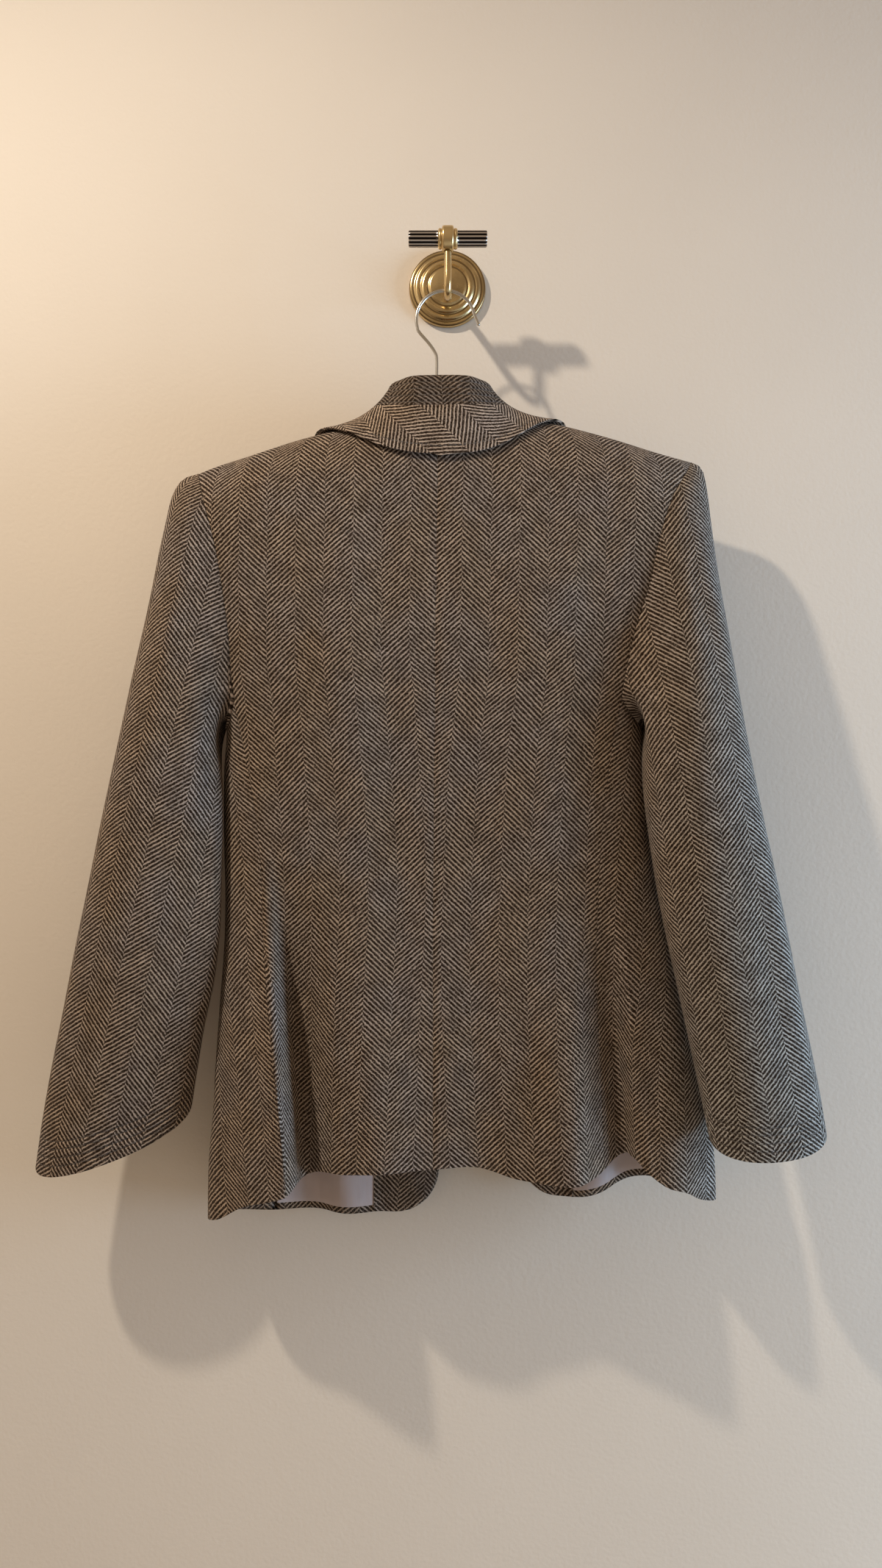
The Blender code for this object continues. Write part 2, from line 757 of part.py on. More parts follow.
def collar_profile(base, side, along):
    """The collar's middle line over one station, and the way its inner fold side faces."""
    apex = Vector((
        COLLAR_CENTRE + side * COLLAR_COLUMN["fold_x"](along),
        COLLAR_COLUMN["fold_y"](along),
        COLLAR_COLUMN["fold_z"](along),
    ))
    turn = COLLAR_COLUMN["edge_turn"](along)
    edge_x = COLLAR_CENTRE + side * COLLAR_COLUMN["edge_x"](along)
    face = BACK if turn < 0 else FRONT
    edge = body_point(edge_x, turn_height(edge_x, turn), face)
    edge += body_normal(edge, face) * (COLLAR_LIFT + CLOTH / 2)
    up = (apex - base).normalized()
    middle = apex - up * (COLLAR_FOLD + CLOTH / 2)
    over = edge - middle
    over = (over - up * over.dot(up)).normalized()
    line = [mix(base, middle - over * COLLAR_FOLD, t) for t in spaced(STAND_STEPS)[:-1]]
    facing = [over] * len(line)
    for angle in FOLD_ANGLES:
        turned = math.radians(angle)
        out = over * math.sin(turned) + up * math.cos(turned)
        line.append(middle + out * COLLAR_FOLD)
        facing.append(-out)
    start = line[-1]
    bulge = COLLAR_COLUMN["bulge"](along)
    length = (edge - start).length
    join = BAND_DEPTH / length
    gap = SEAM_GAP / 2 / length
    steps = [join * t for t in spaced(BAND_STEPS)[1:-1]] + [join - gap, join + gap]
    steps += [mix(join, 1, t) for t in spaced(FALL_STEPS)[1:]]
    for t in steps:
        line.append(mix(start, edge, t) + over * bulge * 4 * t * (1 - t))
        facing.append(-over)
    return line, facing


COLLAR_COLUMN = {name: column(COLLAR, "along", name) for name in Station._fields[1:]}


def collar(material_band, material_fall):
    left = neck_edge(LEFT)
    right = neck_edge(RIGHT)
    seam = [(point, normal, along, LEFT) for point, normal, along in reversed(left[1:])]
    seam.append(((left[0][0] + right[0][0]) / 2, left[0][1], 0.0, RIGHT))
    seam += [(point, normal, along, RIGHT) for point, normal, along in right[1:]]
    away = edge_away([s[0] for s in seam], [s[1] for s in seam], Vector((NECK_CENTRE, PLANE, -100)))
    outside = []
    inside = []
    lines = []
    facings = []
    for (point, normal, along, side), off in zip(seam, away):
        outside.append(point + off * SEAM_GAP)
        inside.append(point - normal * CLOTH + off * SEAM_GAP)
        line, facing = collar_profile((outside[-1] + inside[-1]) / 2, side, along)
        lines.append(line)
        facings.append(facing)
    grid = [list(row) for row in zip(*lines)]
    faced = [list(row) for row in zip(*facings)]
    normals = grid_normals(grid, lambda i, j: faced[i][j])
    under = [[p + n * (CLOTH / 2) for p, n in zip(a, b)] for a, b in zip(grid, normals)]
    upper = [[p - n * (CLOTH / 2) for p, n in zip(a, b)] for a, b in zip(grid, normals)]
    under[0] = outside
    upper[0] = inside
    split = STAND_STEPS + len(FOLD_ANGLES) + BAND_STEPS
    wall("collar_band", upper[:split], under[:split], material_band)
    wall("collar_fall", upper[split:], under[split:], material_fall)


LAPEL_COLUMN = {name: through([(i, getattr(row, name)) for i, row in enumerate(LAPEL)])
                for name in Lapel._fields}
LAPEL_ROWS = 14
LAPEL_COLUMNS = 4
LAPEL_ROLL = ((1.5, -1.6), (2.0, 0.0), (1.0, 1.6))  # off the front's edge, and out from it


def lapel(side, name, material):
    """The turned-back part of the front, rolled over the front's edge and lying on it."""
    grid = []
    hints = []
    last = len(LAPEL) - 1
    for step in spaced(LAPEL_ROWS):
        row = step * last
        roll_z = LAPEL_COLUMN["roll_z"](row)
        roll_x = FRONT_EDGE[side](roll_z)
        start = body_point(roll_x, roll_z, FRONT, side)
        out = body_normal(start, FRONT, side)
        below = body_point(FRONT_EDGE[side](roll_z - 1), roll_z - 1, FRONT, side)
        off = (below - start).cross(out).normalized()
        if off.x * side > 0:
            off.negate()
        line = [start + off * a + out * b for a, b in LAPEL_ROLL]
        hint = [off, off + out, out]
        for t in spaced(LAPEL_COLUMNS):
            reach = mix(3.0, LAPEL_COLUMN["width"](row), t)
            z = mix(roll_z, LAPEL_COLUMN["edge_z"](row), t)
            point = body_point(roll_x + side * reach, z, FRONT, side)
            normal = body_normal(point, FRONT, side)
            line.append(point + normal * (LAPEL_LIFT + CLOTH / 2))
            hint.append(normal)
        grid.append(line)
        hints.append(hint)
    normals = grid_normals(grid, lambda i, j: hints[i][j])
    upper = [[p + n * (CLOTH / 2) for p, n in zip(a, b)] for a, b in zip(grid, normals)]
    under = [[p - n * (CLOTH / 2) for p, n in zip(a, b)] for a, b in zip(grid, normals)]
    wall(name, upper, under, material)


# ---------------------------------------------------------------- facings and linings

def moved_edge(line, inset):
    """A line of (point, normal) with its first one moved this far along it."""
    (a, first), (b, second) = line[:2]
    t = inset / (b - a).length
    return [(mix(a, b, t), mix(first, second, t).normalized())] + list(line[1:])


def inner_layer(name, rows, hem_inset, start_inset, end_inset, thickness, material):
    """A layer that lies inside a front: some of its own points, moved in."""
    rows = [moved_edge(row, start_inset) for row in rows]
    rows = [moved_edge(row[::-1], end_inset)[::-1] for row in rows]
    columns = [moved_edge(line, hem_inset) for line in zip(*rows)]
    rows = [list(row) for row in zip(*columns)]
    wall(name, *two_skins(rows, CLOTH + LAYER_GAP, thickness), material)


# ---------------------------------------------------------------- solid pieces

def loft(name, rings, material):
    """A solid through rings of points, with flat ends."""
    shape = bmesh.new()
    loops = [[shape.verts.new((point + LEVEL) * MM) for point in ring] for ring in rings]
    count = len(loops[0])
    for a, b in zip(loops, loops[1:]):
        for j in range(count):
            k = (j + 1) % count
            shape.faces.new((a[j], a[k], b[k], b[j]))
    shape.faces.new(loops[0])
    shape.faces.new(loops[-1])
    bmesh.ops.recalc_face_normals(shape, faces=shape.faces)
    mesh = bpy.data.meshes.new(name)
    shape.to_mesh(mesh)
    shape.free()
    return keep(name, mesh, material)


def turned(name, profile, steps, material):
    """A solid turned about local Z from (radius, height) points, from its top down."""
    mesh = bpy.data.meshes.new(name)
    points = [(radius * MM, 0, height * MM) for radius, height in profile]
    mesh.from_pydata(points, [(i, i + 1) for i in range(len(points) - 1)], [])
    made = keep(name, mesh, material)
    screw = made.modifiers.new("Turned", "SCREW")
    screw.steps = steps
    screw.render_steps = steps
    screw.use_merge_vertices = True
    screw.merge_threshold = 0.00001
    return made


def rod(name, points, radius, resolution, material):
    """A round rod or wire along a line of points, with filled ends."""
    curve = bpy.data.curves.new(name, "CURVE")
    curve.dimensions = "3D"
    curve.bevel_depth = radius * MM
    curve.bevel_resolution = resolution
    curve.use_fill_caps = True
    line = curve.splines.new("POLY")
    line.points.add(len(points) - 1)
    for place, point in zip(line.points, points):
        place.co = (*((Vector(point) + LEVEL) * MM), 1)
    curve.materials.append(material)
    made = bpy.data.objects.new(name, curve)
    JACKET.objects.link(made)
    return made


def hanger_top(x):
    """Just under the shoulders' inner side, with a peak in the middle."""
    off = min(abs(x - NECK_CENTRE) / HANGER_PEAK_HALF, 1)
    return RIDGE_HEIGHT(x) - CLOTH - HANGER_CLEAR + HANGER_PEAK * 0.5 * (1 + math.cos(math.pi * off))


HANGER_RINGS = 18
HANGER_SIDES = 12


def hanger(material):
    rings = []
    for t in spaced(HANGER_RINGS):
        x = mix(HANGER_LEFT, HANGER_RIGHT, t)
        end = abs(2 * t - 1) ** 3
        width = mix(HANGER_HALF_WIDTH, HANGER_END_HALF_WIDTH, end)
        height = mix(HANGER_HALF_HEIGHT, HANGER_END_HALF_HEIGHT, end)
        if t in (0, 1):
            width -= 3
            height -= 3
        middle = hanger_top(x) - height
        ring = []
        for side in range(HANGER_SIDES):
            angle = 2 * math.pi * side / HANGER_SIDES
            ring.append(Vector((x, PLANE + width * math.cos(angle), middle + height * math.sin(angle))))
        rings.append(ring)
    loft("hanger", rings, material)


def hanger_hook(material):
    """The wire: a shank, a bend to the side, and the hook's round."""
    foot = hanger_top(SHANK_X) - SHANK_FOOT
    points = [(SHANK_X, PLANE, foot), (SHANK_X, PLANE, -96), (SHANK_X, PLANE, -82)]
    points += [(SHANK_X - 1.2, PLANE, -76), (SHANK_X - 6.8, PLANE, -67.5)]
    for step in range(21):
        angle = math.radians(mix(205, 12, step / 20))
        x = HOOK_X + HOOK_RADIUS * math.cos(angle)
        points.append((x, PLANE, HOOK_Z + HOOK_RADIUS * math.sin(angle)))
    points += [(HOOK_X + 28, PLANE, -47), (HOOK_X + 29.6, PLANE, -50.5)]
    rod("hanger_hook", points, WIRE_RADIUS, 2, material)


# The wall hook's arm: out of the rose, down to the trough, and up to the bar
Bend = namedtuple("Bend", "y z")
ARM = (
    Bend(-11, -6),
    Bend(-24, -8),
    Bend(-38, -15),
    Bend(-50, -22),
    Bend(-60, -25.2),
    Bend(-68, -24.4),
    Bend(-72.6, -18),
    Bend(-73, -6),
)
ARM_POINTS = 22


def wall_hook(material):
    top = BAR_Z - BAR_COLLAR_RADIUS - SEAM_GAP
    rows = list(ARM) + [Bend(BAR_Y, top)]
    arm_y = through([(i, row.y) for i, row in enumerate(rows)])
    arm_z = through([(i, row.z) for i, row in enumerate(rows)])
    places = [t * (len(rows) - 1) for t in spaced(ARM_POINTS)]
    rod("hook_arm", [(0, arm_y(i), arm_z(i)) for i in places], ARM_RADIUS, 3, material)

    profile = [(0, 10), (17, 10), (18, 9), (19.5, 8.6), (22, 9.2), (24.5, 8.4), (25.5, 6.9)]
    profile += [(28.5, 7.3), (30.5, 6.2), (31.5, 4.8), (34.5, 4.9), (ROSE_RADIUS, 3.4)]
    profile += [(ROSE_RADIUS, 0), (0, 0)]
    rose = turned("hook_rose", profile, 32, material)
    rose.rotation_euler = (math.radians(90), 0, 0)

    half = [(0, BAR_HALF), (BAR_RADIUS - 1.8, BAR_HALF), (BAR_RADIUS, BAR_HALF - 1.8)]
    half += [(BAR_RADIUS, BAR_COLLAR_HALF + 2), (BAR_COLLAR_RADIUS - 1.5, BAR_COLLAR_HALF)]
    half += [(BAR_COLLAR_RADIUS, BAR_COLLAR_HALF - 2.5)]
    bar = turned("hook_bar", half + [(r, -h) for r, h in reversed(half)], 14, material)
    bar.rotation_euler = (0, math.radians(90), 0)
    bar.location = (Vector((0, BAR_Y, BAR_Z)) + LEVEL) * MM


def buttons(material):
    r = BUTTON_RADIUS
    top = BUTTON_THICKNESS
    profile = [(0, top - 1), (r - 4.2, top - 1), (r - 3, top), (r - 1, top), (r, top - 1)]
    profile += [(r, 1.2), (r - 1.5, 0), (0, 0)]
    for number, height in enumerate(BUTTON_HEIGHTS, 1):
        made = turned(f"button_{number}", profile, 24, material)
        made.rotation_euler = (math.radians(-90), 0, 0)
        seat = body_point(LAP_CENTRE, height, FRONT, RIGHT).y + LAYER_GAP
        made.location = (Vector((LAP_CENTRE, seat, height)) + LEVEL) * MM


# ---------------------------------------------------------------- assembly

for leftover in list(bpy.data.objects):
    bpy.data.objects.remove(leftover)
JACKET = bpy.data.collections.new("herringbone_jacket")
bpy.context.scene.collection.children.link(JACKET)

WOOL = (0.13, 0.1, 0.075)
panels = {}


def wool(name):
    return principled(name + "_herringbone", WOOL, 0.95)


for side, word in ((LEFT, "left"), (RIGHT, "right")):
    panels["back", side] = back_panel(side)
    panels["front", side] = front_panel(side)
    panels["side", side] = side_panel(side)
    for piece in ("back", "front", "side"):
        name = f"{piece}_{word}"
        wall(name, *two_skins(panels[piece, side], 0, CLOTH), wool(name))

for side, word, table in ((LEFT, "left", LEFT_SLEEVE), (RIGHT, "right", RIGHT_SLEEVE)):
    name = f"sleeve_{word}"
    loop, tip = armhole(panels["back", side], panels["side", side], panels["front", side])
    sleeve(name, side, table, loop, tip, wool(name))
    lapel(side, f"lapel_{word}", wool(f"lapel_{word}"))
    low = panels["front", side][:LOW_ROWS]
    facing = [row[:FACING_COLUMNS + 1] for row in low]
    lining = [row[FACING_COLUMNS:] for row in low]
    inner_layer(f"facing_{word}", facing, FACING_INSET, FACING_INSET, SEAM_GAP / 2, CLOTH,
                wool(f"facing_{word}"))
    inner_layer(f"lining_{word}", lining, HEM_TURN, SEAM_GAP / 2, FACING_INSET, LINING,
                principled(f"lining_{word}_satin", (0.24, 0.16, 0.13), 0.4))

collar(wool("collar_band"), wool("collar_fall"))
buttons(principled("horn", (0.05, 0.03, 0.02), 0.35))
hanger(principled("beech", (0.45, 0.3, 0.18), 0.5))
hanger_hook(principled("steel_wire", (0.6, 0.6, 0.6), 0.25, 1.0))
wall_hook(principled("brass", (0.55, 0.4, 0.17), 0.3, 1.0))
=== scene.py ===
"""Dresses a herringbone jacket that hangs with its back to the room, from a brass wall hook.

The form of each piece of cloth is worked out from short tables in millimetres, whose height 0 lies
LEVEL under the rose's centre, and each mesh is made in metres. Left and right are the wearer's.
"""

import math
from bisect import bisect_right
from collections import namedtuple

import bmesh
import bpy
from mathutils import Matrix, Vector


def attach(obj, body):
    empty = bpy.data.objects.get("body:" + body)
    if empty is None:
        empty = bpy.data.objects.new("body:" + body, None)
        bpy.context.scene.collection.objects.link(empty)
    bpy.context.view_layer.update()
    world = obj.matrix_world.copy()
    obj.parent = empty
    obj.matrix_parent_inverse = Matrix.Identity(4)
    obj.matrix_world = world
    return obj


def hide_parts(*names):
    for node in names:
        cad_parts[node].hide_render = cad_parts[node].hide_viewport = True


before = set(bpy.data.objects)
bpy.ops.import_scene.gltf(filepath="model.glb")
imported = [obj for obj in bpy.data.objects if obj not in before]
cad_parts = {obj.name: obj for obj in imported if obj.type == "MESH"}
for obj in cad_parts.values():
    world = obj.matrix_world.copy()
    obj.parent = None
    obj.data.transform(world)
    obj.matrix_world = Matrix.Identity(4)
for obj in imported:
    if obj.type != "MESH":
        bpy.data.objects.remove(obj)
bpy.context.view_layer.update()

bl_info = {
    "name": "Herringbone Jacket",
    "version": (1, 0, 0),
    "blender": (4, 5, 0),
    "location": "3D View > Sidebar > Jacket",
    "description": "Tailored herringbone jacket on a hanger, hung from a brass wall hook",
    "category": "Object",
}

MM = 0.001
BACK = -1
FRONT = 1
LEFT = -1
RIGHT = 1
SIDES = ((LEFT, "left"), (RIGHT, "right"))

CLOTH = 2.0             # thickness of the wool
LINING = 1.0            # thickness of the satin
SEAM_GAP = 0.02
LAYER_GAP = 0.6         # between two layers that lie on one another
HEM_TURN = 7.0          # how far the wool shows inside before the lining begins
TUCK = 0.5              # radius that cloth turns in by at a seam or a hem
TUCK_STEPS = (0.0, 0.12, 0.27, 0.5)

LEVEL = Vector((0, 0, -5.5))
PLANE = -60.0           # the plane through both shoulders, between the back and the front
CENTRE = -11.0
NECK_CENTRE = -8.0
NECK_HALF = 66.0
NECK_SIDE = -130.0      # height of the neckline's side on the shoulder
SHOULDER_TIP = -172.0
SHOULDER_ROLL = 60.0
SQUARENESS = 5.0        # of the body's oval: 2 would be an ellipse
LAP = 2.7               # how far in or out each front moves where one lies over the other
LAP_CENTRE = 5.0
LAP_REACH = 80.0
LAP_FADE = 45.0
HEM_GUIDE = -800.0      # height at which the hem's places across are taken
FOLD_END = -850.0
CREASE_FADE = 0.35      # share of a crease's length over which it dies away

# Body sections from the hem up: reach is from the middle to each side's edge.
Section = namedtuple("Section", "height left right back front")
SECTIONS = (
    Section(-860, 203, 250, 40, 44),
    Section(-796, 202, 249, 40, 44),
    Section(-749, 198, 243, 39, 43),
    Section(-712, 196, 233, 38, 43),
    Section(-655, 192, 221, 37, 42),
    Section(-603, 188, 211, 36, 41),
    Section(-560, 187, 201, 36, 41),
    Section(-515, 188, 193, 37, 41),
    Section(-450, 188, 188, 40, 43),
    Section(-405, 187, 185, 42, 44),
    Section(-330, 212, 206, 44, 44),
    Section(-260, 240, 240, 43, 42),
    Section(-200, 262, 262, 40, 38),
    Section(-140, 275, 275, 35, 33),
)

# The shoulder line, where the back and the front meet
Ridge = namedtuple("Ridge", "across height")
RIDGE = (
    Ridge(-225, -186),
    Ridge(-205, -178),
    Ridge(-177, -169),
    Ridge(-136, -155.5),
    Ridge(-112, -149),
    Ridge(-95, -144.5),
    Ridge(-76, -137.5),
    Ridge(-40, -127),
    Ridge(22, -127),
    Ridge(58, -134),
    Ridge(80, -138),
    Ridge(101, -141.5),
    Ridge(143, -152.5),
    Ridge(185, -165.5),
    Ridge(205, -171),
    Ridge(220, -175),
)

# Centre-back seam and side-back seams, which go on up as the armholes' back edges
BackSeam = namedtuple("BackSeam", "height left middle right")
BACK_SEAMS = (
    BackSeam(-860, -131, -13, 138),
    BackSeam(-733, -144, -13, 134),
    BackSeam(-647, -154, -13, 130),
    BackSeam(-595, -159, -13, 129),
    BackSeam(-520, -163, -12.5, 132),
    BackSeam(-450, -173, -12, 139),
    BackSeam(-385, -187, -11, 150),
    BackSeam(-330, -190, -11, 161),
    BackSeam(-284, -196, -10, 175),
    BackSeam(-250, -202, -10, 182),
    BackSeam(-210, -213, -9, 195),
    BackSeam(-172, -222, -9, 216),
    BackSeam(-120, -222, -9, 216),
)

# Front edges, and side-front seams, which go on up as the armholes' front edges
FrontSeam = namedtuple("FrontSeam", "height left_side left_edge right_edge right_side")
FRONT_SEAMS = (
    FrontSeam(-860, -160, -8, 64, 196),
    FrontSeam(-800, -158, -7, 62, 192),
    FrontSeam(-700, -154, 5, 32, 172),
    FrontSeam(-600, -152, 18, -3, 156),
    FrontSeam(-520, -154, 23, -13, 146),
    FrontSeam(-450, -163, 23, -13, 146),
    FrontSeam(-400, -172, 22, -12, 152),
    FrontSeam(-385, -176, 17, -8, 155),
    FrontSeam(-330, -180, -5, 10, 160),
    FrontSeam(-284, -187, -23, 21, 170),
    FrontSeam(-210, -208, -52, 36, 194),
    FrontSeam(-172, -222, -66, 48, 216),
    FrontSeam(-136, -222, -76, 58, 216),
)

# Lower edges of the back and of the front
Hem = namedtuple("Hem", "across height")
BACK_HEM = (
    Hem(-214, -846),
    Hem(-200, -840),
    Hem(-178, -825),
    Hem(-150, -813),
    Hem(-131, -806),
    Hem(-112, -798),
    Hem(-60, -794),
    Hem(-13, -791),
    Hem(24, -790),
    Hem(60, -799),
    Hem(92, -802),
    Hem(112, -801),
    Hem(130, -797),
    Hem(146, -788),
    Hem(160, -784),
    Hem(174, -797),
    Hem(188, -807),
    Hem(206, -813),
    Hem(220, -822),
    Hem(239, -829),
)
FRONT_HEM = (
    Hem(-214, -846),
    Hem(-150, -854),
    Hem(20, -854),
    Hem(60, -841),
    Hem(92, -842),
    Hem(118, -841),
    Hem(140, -836),
    Hem(153, -831),
    Hem(167, -825),
    Hem(184, -822),
    Hem(205, -824),
    Hem(239, -829),
)
CORNER = 40.0           # radius that the front is cut away by at its lower corner

# Folds: ridges (out > 0) and valleys (out < 0) that grow from start to full
Fold = namedtuple("Fold", "side top hem start full out before after")
FOLDS = (
    Fold(BACK, -160, -134, -500, -720, 23, 60, 11),
    Fold(BACK, -148, -122, -510, -700, -22, 12, 40),
    Fold(BACK, -40, -52, -560, -840, 3, 40, 40),
    Fold(BACK, 40, 30, -600, -840, -4, 40, 40),
    Fold(BACK, 98, 112, -580, -780, 15, 48, 22),
    Fold(BACK, 137, 162, -540, -720, -24, 36, 11),
    Fold(BACK, 190, 204, -680, -820, 10, 34, 30),
    Fold(BACK, -100, -60, -190, -330, 3, 46, 46),
    Fold(BACK, 90, 60, -190, -330, 3, 46, 46),
    Fold(FRONT, -150, -128, -560, -800, 6, 40, 30),
    Fold(FRONT, -108, -92, -580, -820, -9, 28, 34),
    Fold(FRONT, 150, 168, -560, -800, 6, 30, 40),
    Fold(FRONT, 118, 132, -600, -820, -9, 30, 28),
)

# Creases: soft troughs and ridges along a line from one place to another on the body
Crease = namedtuple("Crease", "side x_top z_top x_low z_low width out")
CREASES = (
    Crease(BACK, 150, -235, 96, -330, 14, -1.6),
    Crease(BACK, 128, -250, 70, -372, 16, 1.3),
    Crease(BACK, 104, -290, 60, -420, 18, -1.2),
    Crease(BACK, 168, -300, 120, -390, 12, -1.3),
    Crease(BACK, -150, -260, -110, -350, 16, -1.2),
    Crease(BACK, -128, -270, -92, -390, 18, 1.0),
    Crease(BACK, -176, -330, -140, -430, 12, -1.2),
    Crease(BACK, -40, -480, -95, -560, 16, -0.9),
    Crease(BACK, -100, -470, -150, -545, 13, 1.0),
    Crease(BACK, 20, -500, 84, -570, 17, -0.9),
    Crease(BACK, 70, -470, 118, -560, 15, 0.9),
    Crease(BACK, -70, -640, -62, -790, 15, 1.1),
    Crease(BACK, -20, -650, -26, -790, 16, -1.2),
    Crease(BACK, 8, -660, 4, -790, 14, 1.0),
    Crease(BACK, 66, -640, 72, -795, 13, -1.5),
    Crease(BACK, 178, -600, 176, -800, 10, -1.6),
    Crease(BACK, -190, -560, -184, -830, 12, 1.3),
    Crease(BACK, -170, -600, -160, -820, 9, -1.2),
    Crease(FRONT, -120, -260, -84, -380, 16, 1.2),
    Crease(FRONT, 116, -260, 82, -380, 16, 1.2),
    Crease(FRONT, -60, -460, -110, -560, 15, -1.1),
    Crease(FRONT, 60, -460, 108, -560, 15, -1.1),
    Crease(FRONT, -60, -640, -58, -840, 14, 1.4),
    Crease(FRONT, -100, -700, -98, -850, 9, -1.2),
    Crease(FRONT, 80, -660, 92, -840, 14, 1.2),
)

ARMHOLE_CORNER = -385.0 # height where the armhole turns in under the arm
ARMHOLE_DIP = 24.0

# Sleeve rings from the armhole down to the cuff
Ring = namedtuple("Ring", "outer_x outer_z inner_x inner_z back front middle dip armhole")
LEFT_SLEEVE = (
    Ring(-227.5, -187.5, -194.5, -405, 42, 40, -60, 0, 0.95),
    Ring(-235, -193, -197, -403, 43, 40, -61, 0, 0.82),
    Ring(-242, -205, -200, -405, 43, 40, -62, 0, 0.66),
    Ring(-247, -224, -202, -410, 43, 40, -63, 0, 0.48),
    Ring(-254, -255, -203, -418, 43, 40, -64, 0, 0.3),
    Ring(-264, -305, -203, -430, 43, 40, -65, 0, 0.13),
    Ring(-277, -362, -202, -446, 42, 39, -66, 0, 0.04),
    Ring(-290, -422, -201, -470, 41, 37, -67, 1, 0),
    Ring(-304, -487, -201, -503, 39, 35, -68, 2, 0),
    Ring(-316, -546, -202, -544, 37, 33, -69, 4, 0),
    Ring(-328, -604, -203, -588, 35, 31, -70, 6, 0),
    Ring(-338, -655, -207, -632, 33, 29, -70, 8, 0),
    Ring(-348, -703, -215, -673, 31, 28, -70, 11, 0),
    Ring(-357, -753, -221, -711, 29, 27, -70, 14, 0),
    Ring(-363, -794, -226, -744, 28, 26, -70, 18, 0),
)
RIGHT_SLEEVE = (
    Ring(220.5, -177, 174, -405, 42, 40, -60, 0, 0.95),
    Ring(225, -184, 176, -403, 43, 40, -62, 0, 0.82),
    Ring(228.5, -203, 176, -405, 43, 39, -65, 0, 0.66),
    Ring(231.5, -232, 175, -410, 43, 38, -69, 0, 0.48),
    Ring(236.5, -275, 173, -418, 43, 37, -74, 0, 0.3),
    Ring(244, -326, 171, -430, 43, 35, -79, 0, 0.13),
    Ring(252.5, -380, 170, -448, 43, 32, -82, 0, 0.04),
    Ring(262, -436, 171, -474, 42, 29, -85, 1, 0),
    Ring(272.5, -489, 175, -508, 41, 26, -87, 2, 0),
    Ring(283.5, -541, 181, -550, 40, 24, -89, 4, 0),
    Ring(293.5, -591, 189, -592, 39, 23, -90, 6, 0),
    Ring(302.5, -638, 198, -634, 38, 23, -91, 8, 0),
    Ring(311.5, -680, 208, -680, 37, 23, -91, 10, 0),
    Ring(320, -722, 218, -727, 36, 23, -91, 12, 0),
    Ring(326, -757, 226, -766, 35, 23, -91, 15, 0),
)

# Soft ripples in a sleeve's cloth: round is the turn from the underarm over the back
Ripple = namedtuple("Ripple", "ring_top round_top ring_low round_low width out")
SLEEVE_RIPPLES = {
    LEFT: (
        Ripple(1.0, 120, 6.0, 110, 14, 1.6),
        Ripple(2.0, 92, 7.5, 84, 12, -1.4),
        Ripple(6.0, 128, 11.0, 118, 13, 1.4),
        Ripple(7.0, 70, 12.0, 66, 13, -1.5),
        Ripple(9.0, 100, 14.5, 98, 16, 1.2),
        Ripple(5.0, 40, 9.0, 56, 12, 1.4),
        Ripple(4.0, 14, 13.0, 18, 13, 5.5),
        Ripple(3.0, 240, 9.0, 250, 18, 1.6),
        Ripple(8.0, 280, 13.0, 270, 18, -1.6),
    ),
    RIGHT: (
        Ripple(1.5, 150, 7.0, 140, 11, 2.0),
        Ripple(2.0, 128, 8.0, 122, 10, -1.8),
        Ripple(3.5, 96, 9.0, 92, 14, 1.5),
        Ripple(7.0, 142, 14.0, 136, 11, 2.0),
        Ripple(7.5, 118, 14.0, 114, 10, -1.7),
        Ripple(5.0, 62, 11.0, 60, 14, -1.3),
        Ripple(4.0, 34, 8.0, 48, 11, 1.2),
        Ripple(9.0, 84, 14.5, 84, 16, 1.2),
        Ripple(3.0, 240, 9.0, 250, 18, 1.4),
        Ripple(8.0, 280, 13.0, 270, 18, -1.4),
    ),
}

# The collar's half, from the centre back (0) over the shoulder seam (1) to its front end (2)
Station = namedtuple("Station", "along fold_x fold_y fold_z edge_x edge_turn bulge")
COLLAR = (
    Station(0.0, 0, -80, -102.5, 0, -84, 3),
    Station(0.45, 23, -78, -102.5, 40, -76, 2),
    Station(0.8, 34, -70, -103.5, 73, -50, -3),
    Station(1.0, 40.5, -60, -106.5, 104.5, -8, -9),
    Station(1.35, 43.5, -36, -118, 116.5, 32, -7),
    Station(1.7, 43.5, -19, -150, 118.5, 62, -3),
    Station(2.0, 49, -12, -194.5, 105.5, 100, 0),
)
COLLAR_CENTRE = -6.5
COLLAR_FOLD = 2.7       # radius of the collar's folded top, at its middle line
COLLAR_LIFT = 2.8       # how far the fall's edge stands off the body
BAND_DEPTH = 28.0

# Lapels from the top down: where each rolls back, and its edge
Lapel = namedtuple("Lapel", "roll_z width edge_z")
LAPEL = (
    Lapel(-198, 34, -206),
    Lapel(-202, 57, -227),
    Lapel(-236, 56, -252),
    Lapel(-270, 50, -284),
    Lapel(-305, 41, -317),
    Lapel(-340, 29, -348),
    Lapel(-370, 16, -375),
    Lapel(-392, 6, -394),
)
LAPEL_LIFT = 1.0
FACING_SHARE = (6 / 11) ** 1.5     # of the front's width, up to the lining
FACING_INSET = 1.2
BUTTON_HEIGHTS = (-545.0, -440.0)

# Herringbone: stripes of twill that lean one way and the other
STRIPE = 24.7           # width of one stripe of the herringbone
TWILL = 4.4             # from one line of the twill to the next, down the stripe
PICK = 1.55             # from one light pick across the dark lines to the next
LEAN = 0.9              # rise of a twill line for its run

# How far the centre-back seam is from the first change of lean on each side of it
Take = namedtuple("Take", "height left right")
CENTRE_TAKE = (
    Take(-800, 17.5, 15.0),
    Take(-774, 16.4, 13.9),
    Take(-651, 10.7, 7.6),
    Take(-539, 6.3, 8.6),
    Take(-425, 14.5, 14.5),
    Take(-368, 20.0, 20.8),
    Take(-346, 21.8, 21.2),
    Take(-202, 22.3, 22.1),
)


# ---------------------------------------------------------------- smooth tables

